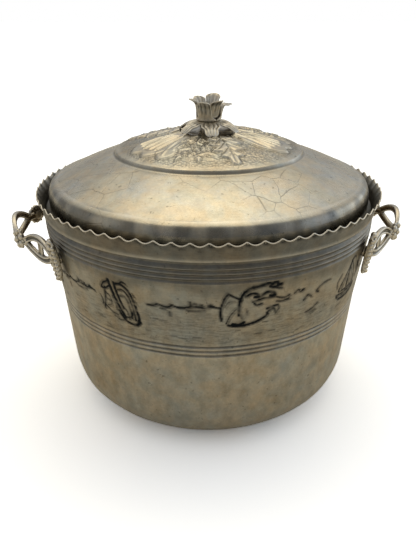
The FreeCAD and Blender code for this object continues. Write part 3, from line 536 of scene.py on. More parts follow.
GULLS = [
    (1.1, 0.9, [(-12, 7), (-9.8, 8.6), (-8.2, 6.8), (-6.2, 8.2)]),
    (0.9, 0.7, [(4.6, 5.0), (7.2, 7.2), (10.8, 8.4), (14.6, 8.6)]),
    (1.1, 0.8, [(-4.6, 0.2), (-1.8, 3.2), (0.6, 1.2)]),
    (1.3, 0.8, [(3.8, 4.2), (5.6, 3.0)]),
    (1.0, 0.7, [(-1.2, -9.2), (3.2, -7.8), (7.2, -5.0)]),
    (0.9, 0.6, [(2.0, -10.8), (6.2, -9.0)]),
]
MOTIFS = 9
MOTIF_STEP = 2 * math.pi / MOTIFS
FIRST_MOTIF = math.radians(-31.0)
SHIPS = [(GALLEON, 106.0), (CARAVEL, 109.6), (SLOOP, 106.5)]
BETWEEN = [(COAST, 109.6), (GULLS, 106.0), (COAST, 108.6)]
BAND_R = 108.0              # mean radius of the band
SHIP_WIDTH = 34.0
SHIP_STEP, SEA_STEP = 0.56, 1.05    # between points of the mesh, across ships and between them
DASHES = 16                 # of water, per motif


def ripples():
    """Short level dashes of water under the ships, placed at random."""
    out = []
    for _ in range(MOTIFS * DASHES):
        u = rng.uniform(-math.pi, math.pi) * BAND_R
        v = 84.5 + 17.0 * rng.beta(1.3, 1.8)
        length = rng.uniform(1.5, 5.5)
        strength = rng.uniform(0.12, 0.45)
        out.append((0.8, strength, [(u, v), (u + length, v + rng.normal(0, 0.15))]))
    return out


def engraving(u, v):
    """Darkness of the engraving, 0 to 1, at u millimetres round the band and height v."""
    depth = np.zeros(np.shape(u))
    jobs = [(w, s, pts, 0.0, 0.0) for w, s, pts in ripples()]
    for k in range(MOTIFS):
        for strokes, height, place in ((*SHIPS[k % 3], k), (*BETWEEN[k % 3], k + 0.5)):
            middle = (FIRST_MOTIF + place * MOTIF_STEP + math.pi) % (2 * math.pi) - math.pi
            jobs += [(w, s, pts, middle * BAND_R, height) for w, s, pts in strokes]
            for right, up, strength in ((0.95, -0.75, 0.55), (-0.85, 0.9, 0.35)):
                jobs += [(0.7, strength * s, pts, middle * BAND_R + right, height + up)
                         for _, s, pts in strokes]
    tremble = Flat(1.1)
    uneven = 0.86 + 0.22 * tremble(u, v)
    for width, strength, points, du, dv in jobs:
        line = curve_through(points, 4) + (du, dv)
        low, high = line.min(0) - width, line.max(0) + width
        near = (u > low[0]) & (u < high[0]) & (v > low[1]) & (v < high[1])
        if not near.any():
            continue
        gap = away_from_line(u[near], v[near], line)
        cut = strength * np.clip(1.8 - 2 * gap / width, 0, 1)
        depth[near] = np.maximum(depth[near], cut)
    return np.clip(depth * uneven, 0, 1)


# ---------------------------------------------------------------- bowl
def wall_radius(z):
    """Radius of the plain wall between the line grooves and the neck."""
    return BAND_FOOT_R + (z - BAND_FOOT_Z) * (WALL_TOP_R - BAND_FOOT_R) / (NECK_Z - BAND_FOOT_Z)


def band_columns():
    """Azimuths round the band, close together across the ships and wider between them."""
    fine, step = SHIP_WIDTH / BAND_R, SHIP_STEP / BAND_R
    out = []
    for k in range(MOTIFS):
        start = FIRST_MOTIF + k * MOTIF_STEP - fine / 2
        out += list(start + np.arange(0, fine, step))
        rest = MOTIF_STEP - fine
        count = int(rest / (SEA_STEP / BAND_R))
        out += list(start + fine + np.arange(count) * rest / count)
    return np.sort(np.mod(out, 2 * math.pi))


def scallop(azimuth):
    """Place within a scallop, 0 to 1, with a peak of the rim at 0.5 and a hollow in front of the bowl."""
    return np.mod((azimuth + SCALLOP_SHIFT) * SCALLOPS / (2 * math.pi), 1.0)


dents = Waves(34.0, 30, 16)
small_dents = Waves(9.0, 40, 60)


def dented(azimuth, z):
    """Unevenness of the hand-worked sheet, in millimetres."""
    return 0.16 * dents(azimuth, z) + 0.035 * small_dents(azimuth, z)


def bowl_foot(skin):
    """Flat base, rounded corner and plain wall up to the line grooves."""
    plain = around(PLAIN)
    skin.pole(0.0)
    for r in (22.0, 44.0, 60.0):
        skin.ring(plain, r, 0.0)
    for angle in np.linspace(-90, -math.degrees(math.atan(WALL_SLOPE)), 15):
        turn = math.radians(angle)
        z = CORNER_R + CORNER_R * math.sin(turn)
        soft = smooth(2, 20, z)
        # Painted shade darkens the bottom 5 mm of the corner; a painted brightening lightens the lower wall,
        # fading out by 40 mm up.
        skin.ring(plain, CORNER_X + CORNER_R * math.cos(turn) + soft * dented(plain, z), z,
                  recess=0.35 * (1 - smooth(0, 5, z)), rubbed=0.14 * (1 - smooth(8, 40, z)))
    start = CORNER_R - WALL_SLOPE * CORNER_R / math.hypot(1, WALL_SLOPE)
    for z in np.linspace(start, LINES_END_Z, 15)[1:]:
        r = LINES_END_R - WALL_SLOPE * (LINES_END_Z - z)
        skin.ring(plain, r + dented(plain, z), z)


def line_grooves(skin):
    """Three turned grooves darkened with painted shade, each with a painted highlight on the lip under it."""
    columns = around(RIDGED)
    grooves = [BAND_FOOT_Z - k * LINE_PITCH for k in range(3)]
    for z in np.arange(LINES_END_Z + 0.4, 84.0, 0.38):
        r = np.interp(z, [LINES_END_Z, BAND_FOOT_Z], [LINES_END_R, BAND_FOOT_R]) if z < BAND_FOOT_Z \
            else wall_radius(z)
        hollow = sum(hump(z, at, 0.55) for at in grooves)
        lit = sum(hump(z, at - 1.05, 0.4) for at in grooves)
        uneven = 0.85 + 0.15 * dents(columns, 3 * z)
        # The grooves are darkened with painted shade, and the lip under each gets a painted highlight.
        skin.ring(columns, r - 0.75 * hollow + dented(columns, z), z, cut=0.72 * hollow * uneven,
                  rubbed=0.22 * lit, lines=0.5, recess=0.1)


def engraved_band(skin):
    """The wall with its engraving sunk in, darker overall and more so towards the neck."""
    columns = band_columns()
    levels = np.concatenate([np.arange(84.6, 121.8, 0.56), [122.6, 123.4]])
    azimuth, height = np.meshgrid(columns, levels)
    signed = (azimuth + math.pi) % (2 * math.pi) - math.pi
    cuts = engraving(signed * BAND_R, height)
    for z, cut in zip(levels, cuts):
        # The band is darkened overall, and more towards the neck.
        band_darkening = 0.26 + 0.42 * smooth(115.0, 124.0, z + 2.5 * dents(columns, 110.0))
        skin.ring(columns, wall_radius(z) - 0.45 * cut + dented(columns, z), z,
                  cut=np.minimum(1.25 * cut, 1.0), recess=band_darkening, lines=1.0 - 0.65 * float(smooth(98, 110, z)))


def ridged_neck(skin):
    """Three ridges, their crests lightened as wear and painted highlight, and the hollow under the collar
    darkened with soiling and painted shade.
    """
    columns = around(RIDGED)
    ground = NECK_R - 1.15
    ridges = [COLLAR_Z - 4.0 - k * RIDGE_PITCH for k in range(3)]
    for z in np.arange(124.0, 137.0, 0.36):
        bead = sum(hump(z, at, 0.55) for at in ridges)
        edge = float(smooth(124.4, 125.4, z))
        under = float(smooth(134.0, 135.2, z))
        r = (1 - edge) * wall_radius(z) + edge * ground + 1.15 * bead
        r = r + under * (RECESS_R - r)
        # Soiling and painted shade darken the neck between the ridges; wear and painted highlight lighten the
        # crests.
        skin.ring(columns, r + 0.5 * dented(columns, z), z, recess=0.60 + 0.25 * edge * (1 - min(1.0, bead)),
                  rubbed=0.55 * max(0.0, bead - 0.55) * (0.7 + 0.3 * small_dents(columns, z)), lines=0.4)


def crimp(up):
    """How much of the crimp's dent there is at this height: none at the foot, most just under the edge."""
    return float(smooth(0.45, 0.86, up) * (1 - 0.9 * smooth(0.90, 1.0, up)))


def collar_and_rim(skin):
    """Moulded foot of the collar, its crimped flare, the rolled scalloped edge and the collar's inside."""
    columns = around(SCALLOPS * 10)
    place = scallop(columns)
    arch = 1 - np.sqrt(np.cos(math.pi * place) ** 2 + 0.03)
    lift = SCALLOP_RISE * (arch - 0.36)
    pinch = hump(place, 0.60, 0.14)

    # radius, height, darkening by soiling and painted shade, lightening by wear and painted highlight
    foot = [(RECESS_R + 0.3, 136.9, 0.7, 0.0), (110.4, 136.8, 0.6, 0.0), (111.35, 137.15, 0.4, 0.2),
            (111.75, 137.8, 0.35, 0.3), (111.6, 138.7, 0.6, 0.1), (111.45, 139.6, 0.75, 0.0),
            (111.75, RIM_FOOT_Z, 0.78, 0.0)]
    plain = around(RIDGED)
    for r, z, darkening, bright in foot:
        skin.ring(plain, r + 0.4 * dented(plain, z), z, recess=darkening, rubbed=bright, lines=0.3)
    flare = [(112.1, 142.2), (112.5, 143.4), (113.0, 144.6), (113.5, 145.6), (113.95, 146.4), (114.25, 147.0),
             (114.45, 147.4), (114.6, 147.75)]
    for r, z in flare:
        up = (z - RIM_FOOT_Z) / 7.0
        # The flare is darkened as tarnish and painted dark reflection, and a painted shadow lies under each
        # crimp's peak.
        skin.ring(columns, r - 1.3 * pinch * crimp(up) + 0.4 * dented(columns, z), z + lift * up ** 2.2,
                  recess=0.78, cut=0.9 * pinch * float(smooth(0.55, 0.85, up)), lines=0.3)
    half = 0.37
    for angle in (-30, 15, 60, 105, 150, 200):
        turn = math.radians(angle)
        r = 114.85 - half + half * math.cos(turn) - 0.25 * pinch
        # The top of the rolled edge gets a painted highlight on top of wear, the underside half as much.
        skin.ring(columns, r + 0.4 * dented(columns, BODY_H), BODY_H + half * math.sin(turn) + lift,
                  rubbed=1.0 if angle > 0 else 0.5)
    inner = curve_through([(113.3, 147.2), (112.0, 145.2), (111.0, 143.2), (110.3, RIM_FOOT_Z)], 2)
    for r, z in inner:
        up = max(0.0, (z - RIM_FOOT_Z) / 7.0)
        # Painted shade darkens the inside of the flare.
        skin.ring(columns, r + 0.4 * dented(columns, z), z + lift * up ** 2.2, recess=0.6)


def bowl_inside(skin):
    """The ledge under the collar and the inside down to the base."""
    plain = around(PLAIN)
    # Painted shade darkens the inside, most under the collar.
    for r, z in ((109.9, 139.6), (109.65, 138.9), (109.3, LEDGE_Z), (107.0, LEDGE_Z), (105.7, LEDGE_Z),
                 (LEDGE_R, LEDGE_Z - 0.3), (LEDGE_R, 136.4), (LEDGE_R, 134.8), (107.6, 132.6), (108.3, 130.6),
                 (108.3, 127.0), (wall_radius(124.8) - SHEET, 124.6)):
        skin.ring(plain, r, z, recess=0.85 if z > 134 else 0.45)
    for z in np.linspace(118.0, LINES_END_Z, 7):
        skin.ring(plain, wall_radius(z) - SHEET + dented(plain, z), z, recess=0.3)
    inside = CORNER_R - SHEET
    for z in np.linspace(66.0, 36.0, 5):
        skin.ring(plain, LINES_END_R - SHEET - WALL_SLOPE * (LINES_END_Z - z), z, recess=0.3)
    for angle in np.linspace(-4, -90, 10):
        turn = math.radians(angle)
        skin.ring(plain, CORNER_X + inside * math.cos(turn), CORNER_R + inside * math.sin(turn), recess=0.35)
    for r in (52.0, 26.0):
        skin.ring(plain, r, SHEET, recess=0.3)
    skin.pole(SHEET, recess=0.3)


def bowl_piece():
    skin = Skin(("recess", "cut", "rubbed", "stain", "lines"))
    for stretch in (bowl_foot, line_grooves, engraved_band, ridged_neck, collar_and_rim, bowl_inside):
        stretch(skin)
    piece = skin.piece("engraved_bowl", BOWL_METAL)
    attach(piece, "bowl")
    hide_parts("bowl_shell")


# ---------------------------------------------------------------- lid
def rotate(points, turn):
    """Points given along and across a motif, turned to stand at an azimuth from the front."""
    p = np.asarray(points, float)
    out, side = p[:, 0], p[:, 1]
    return np.stack([out * math.sin(turn) + side * math.cos(turn),
                     -out * math.cos(turn) + side * math.sin(turn)], -1)


def leaf_outline(root, tip, half, lobes, cut):
    """Outline of a leaf along +X: lobes to a side, their points turned to the tip."""
    right = []
    for k in range(lobes):
        t0, t1 = k / lobes, (k + 0.72) / lobes
        wide = half * math.sin(math.pi * min(1.0, 0.16 + 0.80 * t1) ** 0.9)
        narrow = half * math.sin(math.pi * min(1.0, 0.12 + 0.80 * t0) ** 0.9) * cut
        right.append((root + (tip - root) * t0, narrow))
        right.append((root + (tip - root) * t1, wide))
    return np.array([*right, (tip, 0.0), *[(x, -y) for x, y in right[::-1]]])


class Relief:
    """Height map of the pressed centre of the lid, in millimetres above the plain dome."""

    def __init__(self, x, y):
        self.x, self.y = x, y
        self.height = np.zeros(x.shape)
        self.cover = np.zeros(x.shape)
        self.dark = np.zeros(x.shape)

    def raise_shape(self, outline, height, edge, crown=0.0):
        inside = inside_by(self.x, self.y, outline)
        up = smooth(-0.2 * edge, edge, inside)
        lift = up * height + crown * np.clip(inside / 6.0, 0, 1) * up
        self.height = np.where(inside > -0.2 * edge, np.maximum(self.height, lift), self.height)
        self.cover = np.maximum(self.cover, smooth(-0.4, 0.5, inside))
        # Painted shade and soiling in a thin ring just outside each raised shape.
        self.dark = np.maximum(self.dark, 0.8 * hump(inside, -0.45, 0.5))

    def rib(self, line, width, height):
        gap = away_from_line(self.x, self.y, curve_through(line, 5))
        up = hump(gap, 0, 0.5 * width)
        self.height = self.height + height * up
        self.cover = np.maximum(self.cover, up)

    def groove(self, line, width, depth):
        gap = away_from_line(self.x, self.y, curve_through(line, 4))
        cut = hump(gap, 0, 0.5 * width)
        self.height = self.height - depth * cut
        # Painted shade and soiling in the groove.
        self.dark = np.maximum(self.dark, 0.55 * cut)


def lid_relief(x, y):
    """Three serrated leaves, three broad ribbed leaves and three flower sprigs on a stippled ground."""
    relief = Relief(x, y)
    for k in range(3):
        third = k * 2 * math.pi / 3
        broad = math.radians(62) + third
        outline = [(16, 3), (24, 9), (34, 13.5), (44, 15.5), (52, 12), (55.5, 7.5), (53, 2.5),
                   (56.5, -3), (52, -9), (43, -13.5), (33, -12), (24, -8), (16, -3)]
        relief.raise_shape(rotate(curve_through([*outline, outline[0]], 3)[:-1], broad), 1.1, 1.3)
        for side in (-8.5, -4.5, 0, 4.5, 8.5):
            line = [(20, side * 0.35), (34, side * 0.8), (49 - abs(side) * 0.35, side * 1.05)]
            relief.rib(rotate(line, broad), 1.7, 0.65)
            relief.groove(rotate([(a, b + 1.9) for a, b in line], broad), 1.0, 0.30)

        plain = math.radians(-46) + third
        lobe = [(14, 7), (26, 12), (38, 11), (47, 14.5), (54, 9.5), (51, 3.5), (46, 0.5), (49, -6), (44, -12),
                (34, -10), (24, -13), (15, -8)]
        relief.raise_shape(rotate(curve_through([*lobe, lobe[0]], 3)[:-1], plain), 0.9, 1.4)
        relief.rib(rotate([(18, -2), (30, 2.5), (42, 5.5), (50, 8.5)], plain), 1.6, 0.5)
        relief.groove(rotate([(20, 3.5), (31, 7), (41, 9.5)], plain), 1.2, 0.3)
        relief.groove(rotate([(20, -5), (30, -6.5), (41, -7)], plain), 1.2, 0.3)

        spiky = math.radians(14) + third
        relief.raise_shape(rotate(leaf_outline(19, 58, 11.5, 5, 0.42), spiky), 1.2, 0.9, 0.3)
        relief.groove(rotate([(20, 0), (38, 0.8), (56, 0)], spiky), 1.5, 0.65)
        for t in (25, 32, 39, 46):
            for side in (-1, 1):
                vein = [(t, 0.8 * side), (t + 5.5, 4.6 * side), (t + 7.5, 7.0 * side)]
                relief.groove(rotate(vein, spiky), 1.1, 0.45)

        sprig = math.radians(-15) + third
        for at, size in (((44.5, -3.0), 4.4), ((36.0, 6.0), 3.3), ((33.0, -8.0), 3.1), ((25.5, 1.0), 2.8)):
            for turn in np.arange(5) * 2 * math.pi / 5 + at[0]:
                hub = (at[0] + 0.62 * size * math.cos(turn), at[1] + 0.62 * size * math.sin(turn))
                petal = [(hub[0] + 0.46 * size * math.cos(a), hub[1] + 0.46 * size * math.sin(a))
                         for a in np.arange(8) * math.pi / 4]
                relief.raise_shape(rotate(petal, sprig), 0.85, 1.1)
            middle = rotate([at], sprig)[0]
            relief.height += 0.3 * np.exp(-((x - middle[0]) ** 2 + (y - middle[1]) ** 2) / (0.2 * size) ** 2)
        for stem in ([(18, -2), (24, -6), (33, -8)], [(18, 3), (28, 7), (36, 6)],
                     [(20, 0), (32, -1), (44, -3)], [(50, -11), (49.5, 0), (48, 12)],
                     [(41, -13), (38, -4), (41, 3)], [(29, -11), (28, -4), (31, 2)],
                     [(47, 2), (42, 8), (44, 14)]):
            relief.rib(rotate(stem, sprig), 1.4, 0.6)
        for at, lean in (((39.5, 1.5), 0.5), ((50.5, 4.5), 0.2), ((50.0, -8.0), -0.4), ((28.5, 8.5), 0.7)):
            leaf = leaf_outline(-3.6, 3.6, 1.9, 2, 0.7)
            turned = [(at[0] + a * math.cos(lean) - b * math.sin(lean),
                       at[1] + a * math.sin(lean) + b * math.cos(lean)) for a, b in leaf]
            relief.raise_shape(rotate(turned, sprig), 1.0, 0.8)
    return relief


def stipple(x, y, pitch=1.5):
    """Matted ground: one rounded bump in each cell of a jittered grid."""
    spread = int(2 * BOSS_R / pitch) + 4
    shift = rng.uniform(-0.36, 0.36, (spread, spread, 2))
    strength = rng.uniform(0.45, 1.0, (spread, spread))
    gx, gy = (x + BOSS_R) / pitch + 1, (y + BOSS_R) / pitch + 1
    out = np.zeros(x.shape)
    for dx in (-1, 0, 1):
        for dy in (-1, 0, 1):
            i = np.clip(np.floor(gx).astype(int) + dx, 0, spread - 1)
            j = np.clip(np.floor(gy).astype(int) + dy, 0, spread - 1)
            ox, oy = gx - i - 0.5 - shift[i, j, 0], gy - j - 0.5 - shift[i, j, 1]
            out = np.maximum(out, strength[i, j] * np.exp(-(ox * ox + oy * oy) / 0.11))
    return out


def dome_height(r):
    """Height of the plain lid above the bowl's base, out to the edge of the raised centre."""
    at = np.array([0.0, 8.0, 19.5, 33.6, 47.6, 56.5, BOSS_R])
    drop = np.array([0.0, 0.0, 0.94, 3.0, 6.24, 9.0, BOSS_DROP])
    fine = np.linspace(0, BOSS_R, 200)
    rows = np.interp(fine, at, drop)
    kernel = np.hanning(31) / np.hanning(31).sum()
    padded = np.concatenate([np.full(15, rows[0]), rows, rows[-1] + (rows[-1] - rows[-2]) * np.arange(1, 16)])
    return LID_TOP - np.interp(r, fine, np.convolve(padded, kernel, "valid"))


def lid_centre(skin):
    """The pressed and stippled middle."""
    fine = around(LID_FINE)
    skin.pole(LID_TOP)
    start = around(60)
    for r in (4.0, 8.0):
        skin.ring(start, r, LID_TOP)
    radii = np.concatenate([np.arange(12.0, 20.0, 1.0), np.arange(20.0, BOSS_R - 0.3, 0.52)])
    azimuth, radius = np.meshgrid(fine, radii)
    x, y = radius * np.sin(azimuth), -radius * np.cos(azimuth)
    relief = lid_relief(x, y)
    inner = smooth(14, 19, radius)
    outer = 1 - smooth(BOSS_R - 3.5, BOSS_R - 0.8, radius)
    grain = stipple(x, y)
    ground = (1 - np.clip(relief.cover, 0, 1)) * smooth(24, 33, radius)
    height = (relief.height * inner + 0.42 * grain * ground) * outer
    height = height + 0.05 * small_dents(azimuth, radius)
    # Painted shade and soiling round the shapes, in the grooves and between the stipple bumps; painted
    # highlights and wear on the raised tops and the stipple points.
    dark = np.clip(relief.dark * inner * outer
                   + 0.55 * ground * outer * (1 - smooth(0.05, 0.35, grain)), 0, 1)
    light = np.clip(0.5 * smooth(0.5, 1.3, relief.height) * inner * outer
                    + 0.45 * ground * outer * smooth(0.5, 0.9, grain), 0, 1)
    base = dome_height(radii)
    for k, r in enumerate(radii):
        columns = fine if r >= 20 else around(LID_FINE // 4)
        take = slice(None) if r >= 20 else slice(None, None, 4)
        skin.ring(columns, r, base[k] + height[k][take], recess=0.8 * dark[k][take],
                  rubbed=0.5 * light[k][take])


def lid_slope(skin):
    """The step round the middle and the slope down to the crease."""
    columns = around(RIDGED)
    profile = [(0.0, 0.0), (0.9, -0.55), (1.7, -2.1), (2.7, -2.75), (STEP_RUN, -STEP_DROP)]
    for r, z in curve_through([(BOSS_R + out, BOSS_EDGE_Z + up) for out, up in profile], 3):
        # A painted dark reflection on the step's steep face and a painted highlight line below it.
        dark_face = hump(r, BOSS_R + 1.7, 0.8)
        lit = hump(r, BOSS_R + 3.0, 0.6)
        skin.ring(columns, r, z + 0.3 * dented(columns, r), recess=0.7 * dark_face, rubbed=0.35 * lit,
                  worn=0.2)
    for t in np.linspace(0, 1, 20)[1:]:
        r = BOSS_R + STEP_RUN + (CREASE_R - BOSS_R - STEP_RUN) * t
        z = BOSS_EDGE_Z - STEP_DROP + (CREASE_Z - BOSS_EDGE_Z + STEP_DROP) * t
        z += 0.9 * math.sin(math.pi * t) * (1 - 0.3 * t)
        skin.ring(columns, r, z + 1.2 * dented(columns, 1.4 * r), worn=1.0)


def lid_shoulder(skin):
    """The rolled edge, with a painted highlight along the crease and painted dark reflections, mottled,
    towards the rim.
    """
    columns = around(RIDGED)
    shoulder = curve_through([(CREASE_R, CREASE_Z), (CREASE_R + 2.2, CREASE_Z - 0.75),
                              (LID_R - 2.7, BODY_H + 5.4), (LID_R - 1.2, BODY_H + 3.0),
                              (LID_R - 0.35, BODY_H + 0.2), (LID_R, BODY_H - 3.0)], 3)
    for r, z in shoulder[1:]:
        # lit paints a highlight along the crease; low and the mottling paint dark reflections towards the
        # rim.
        lit = hump(r, CREASE_R + 1.0, 1.1)
        low = 1 - float(smooth(BODY_H - 2, BODY_H + 4, z))
        dark_reflection_blotch = smooth(-0.9, 0.9, dents(3 * columns, 0.7 * z) + 0.5 * small_dents(columns, z))
        dark_reflection_blotch = dark_reflection_blotch * (1 - float(smooth(BODY_H + 5, BODY_H + 7, z)))
        dark = (0.45 + 0.30 * low) * float(1 - smooth(BODY_H + 5.5, BODY_H + 7.2, z)) + 0.40 * dark_reflection_blotch
        skin.ring(columns, r + 0.5 * dented(columns, z), z + 0.3 * dented(columns, 0.5 * z), worn=0.6,
                  recess=np.clip(dark, 0, 0.85), rubbed=0.5 * lit * (0.6 + 0.4 * dents(columns, 5)))


def lid_inside(skin):
    """The foot that stands on the ledge, and the plain underside up to the middle."""
    under = around(LID_UNDER)
    foot = LEDGE_Z + 0.05
    # Painted shade darkens the foot and the underside.
    for r, z in ((LID_R, 142.0), (LID_R, foot + 0.4), (LID_R - 0.4, foot), (LID_R - LID_SHEET + 0.3, foot),
                 (LID_R - LID_SHEET, foot + 0.3), (LID_R - LID_SHEET, 143.0),
                 (LID_R - LID_SHEET - 0.35, BODY_H), (LID_R - LID_SHEET - 1.6, BODY_H + 2.6),
                 (LID_R - 4.2, BODY_H + 4.3), (CREASE_R - 0.4, CREASE_Z - LID_SHEET)):
        skin.ring(under, r, z, recess=0.6)
    for s in np.linspace(1, 0, 9)[1:]:
        r = BOSS_R + 3.2 + (CREASE_R - BOSS_R - 3.2) * s
        z = BOSS_EDGE_Z - STEP_DROP - LID_SHEET + (CREASE_Z - BOSS_EDGE_Z + STEP_DROP) * s
        z += 0.9 * math.sin(math.pi * s)
        skin.ring(under, r, z, recess=0.3)
    skin.ring(under, BOSS_R - 0.2, BOSS_EDGE_Z - LID_SHEET - 0.5, recess=0.4)
    for r in (54.0, 46.0, 38.0, 30.0, 22.0, 14.0, 8.0, 4.0):
        skin.ring(under, r, float(dome_height(r)) - LID_SHEET, recess=0.3)
    skin.pole(LID_TOP - LID_SHEET, recess=0.3)


def lid_piece():
    skin = Skin(("recess", "cut", "rubbed", "stain", "lines", "worn"))
    for stretch in (lid_centre, lid_slope, lid_shoulder, lid_inside):
        stretch(skin)
    piece = skin.piece("embossed_lid", LID_METAL)
    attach(piece, "lid")
    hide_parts("lid_shell")


# ---------------------------------------------------------------- small castings and pressings
class Parts:
    """Simple closed shapes gathered into one mesh, in millimetres."""

    def __init__(self):
        self.points, self.threes, self.quads, self.count = [], [], [], 0

    def add(self, points, quads=(), threes=()):
        self.points.append(np.asarray(points, float))
        if len(quads):
            self.quads.append(np.asarray(quads) + self.count)
        if len(threes):
            self.threes.append(np.asarray(threes) + self.count)
        self.count += len(points)

    def blob(self, middle, frame, radii, segments=14, rows=9):
        """An ellipsoid; frame's rows are its axes."""
        polar = np.linspace(0, math.pi, rows + 1)[1:-1]
        turn = around(segments)
        ring = np.array([[(math.sin(a) * math.cos(b), math.sin(a) * math.sin(b), math.cos(a)) for b in turn]
                         for a in polar]).reshape(-1, 3)
        local = np.vstack([[(0, 0, 1)], ring, [(0, 0, -1)]]) * radii
        i = np.arange(segments)
        j = (i + 1) % segments
        quads = np.concatenate([np.stack([1 + r * segments + i, 1 + (r + 1) * segments + i,
                                          1 + (r + 1) * segments + j, 1 + r * segments + j], -1)
                                for r in range(rows - 2)])
        last = 1 + (rows - 2) * segments
        threes = np.concatenate([np.stack([np.zeros(segments, int), 1 + i, 1 + j], -1),
                                 np.stack([np.full(segments, len(local) - 1), last + j, last + i], -1)])
        self.add(np.asarray(middle) + local @ np.asarray(frame), quads, threes)

    def sweep(self, rings):
        """A closed tube through rings of equal length, capped at both ends."""
        rings = np.asarray(rings, float)
        count, size = rings.shape[:2]
        i = np.arange(size)
        j = (i + 1) % size
        quads = np.concatenate([np.stack([r * size + i, r * size + j, (r + 1) * size + j,
                                          (r + 1) * size + i], -1) for r in range(count - 1)])
        points = np.vstack([rings.reshape(-1, 3), rings[0].mean(0), rings[-1].mean(0)])
        first, last, top = count * size, count * size + 1, (count - 1) * size
        threes = np.concatenate([np.stack([np.full(size, first), j, i], -1),
                                 np.stack([np.full(size, last), top + i, top + j], -1)])
        self.add(points, quads, threes)

    def piece(self, name, material):
        faces = [np.concatenate(f) for f in (self.quads, self.threes) if f]
        return build(name, np.concatenate(self.points), faces, material)


def settle(piece, *modifiers):
    """Adds modifiers, given as (kind, settings), and keeps their result as the mesh."""
    for kind, settings in modifiers:
        made = piece.modifiers.new(kind.lower(), kind)
        for key, value in settings.items():
            setattr(made, key, value)
    bpy.context.view_layer.update()
    shape = bpy.data.meshes.new_from_object(piece.evaluated_get(bpy.context.evaluated_depsgraph_get()))
    piece.modifiers.clear()
    old, piece.data = piece.data, shape
    bpy.data.meshes.remove(old)
    shape.polygons.foreach_set("use_smooth", np.ones(len(shape.polygons), bool))
    return piece


def points_of(mesh):
    out = np.empty(len(mesh.vertices) * 3)
    mesh.vertices.foreach_get("co", out)
    return out.reshape(-1, 3) / MM


def age_and_painted_light(piece, rounds=5, depth=0.12, stain=None):
    """Soiling and painted shade in the hollows, wear and painted highlights on the ridges, from how far each
    point lies below or above the smoothed surface. stain gives the brown of sheltered sides, from points and
    normals."""
    mesh = piece.data
    here = points_of(mesh)
    ends = np.empty(len(mesh.edges) * 2, int)
    mesh.edges.foreach_get("vertices", ends)
    a, b = ends.reshape(-1, 2).T
    number = np.bincount(a, minlength=len(here)) + np.bincount(b, minlength=len(here))

    def spread(values):
        total = np.bincount(a, values[b], len(here)) + np.bincount(b, values[a], len(here))
        return total / np.maximum(number, 1)

    soft = here.copy()
    for _ in range(rounds):
        soft = np.stack([spread(soft[:, k]) for k in range(3)], -1)
    normals = np.empty(len(here) * 3)
    mesh.vertices.foreach_get("normal", normals)
    normals = normals.reshape(-1, 3)
    below = spread(((soft - here) * normals).sum(1) / depth)
    # Soiling with painted shade in the hollows, wear with painted highlights on the ridges.
    marks = {"recess": 0.9 * np.clip(below, 0, 1), "rubbed": 0.8 * np.clip(-below - 0.3, 0, 1),
             "cut": np.zeros(len(here)), "stain": stain(here, normals) if stain else np.zeros(len(here))}
    keep_marks(mesh, marks)


# ---------------------------------------------------------------- handles
HANDLE_Z = BODY_H - 30.0    # middle height of the handles
HANDLE_ANGLE = math.radians(31.3)
WALL_R = 109.9
BEND = 26.0
BOW_HALF = 1.3
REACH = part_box("right_handle")[1].x / MM - BOW_HALF
FOOT_END = (97.8, 57.0)
FLOWER_Y = 21.9
EYES = [(-42.4, 14.6, 6.3), (0.0, 15.6, 7.0), (42.4, 14.6, 6.3)]    # middle, half length, half height
# across and out of the ribbon: a channel between two rolled edges
RIBBON = [(-2.3, -0.9), (-2.45, 0.2), (-2.25, 1.5), (-1.6, 1.95), (-1.0, 1.5), (-0.6, 0.55),
          (0.6, 0.55), (1.0, 1.5), (1.6, 1.95), (2.25, 1.5), (2.45, 0.2), (2.3, -0.9),
          (1.6, -1.35), (0.9, -0.8), (-0.9, -0.8), (-1.6, -1.35)]


def bow_at(y):
    """Middle of the right handle's bow at this y, seen from above, and the way out from it."""
    middle = REACH - BEND
    run = math.hypot(FOOT_END[0] - middle, FOOT_END[1])
    turn = math.atan2(FOOT_END[1], FOOT_END[0] - middle) - math.acos(BEND / run)
    side = -1.0 if y < 0 else 1.0
    y = abs(y)
    if y <= BEND * math.sin(turn):
        angle = math.asin(y / BEND)
        x = middle + BEND * math.cos(angle)
    else:
        angle = turn
        x = middle + BEND * math.cos(turn) - (y - BEND * math.sin(turn)) * math.tan(turn)
    way = np.array([math.cos(angle), side * math.sin(angle), 0.0])
    return np.array([x, side * y, HANDLE_Z]) + 2.2 * hump(y, 23.0, 10.0) * way, way


def strand(parts, points, section=RIBBON, scale=1.0):
    """A ribbon along the bow through points (y, height)."""
    places = [bow_at(y) for y, _ in points]
    path = np.array([at + (0, 0, z) for (at, _), (_, z) in zip(places, points)])
    ways = np.array([way for _, way in places])
    along = np.gradient(path, axis=0)
    along /= np.linalg.norm(along, axis=1)[:, None]
    across = np.cross(ways, along)
    section = np.asarray(section) * scale
    parts.sweep([p + section[:, :1] * s + section[:, 1:] * w for p, s, w in zip(path, across, ways)])


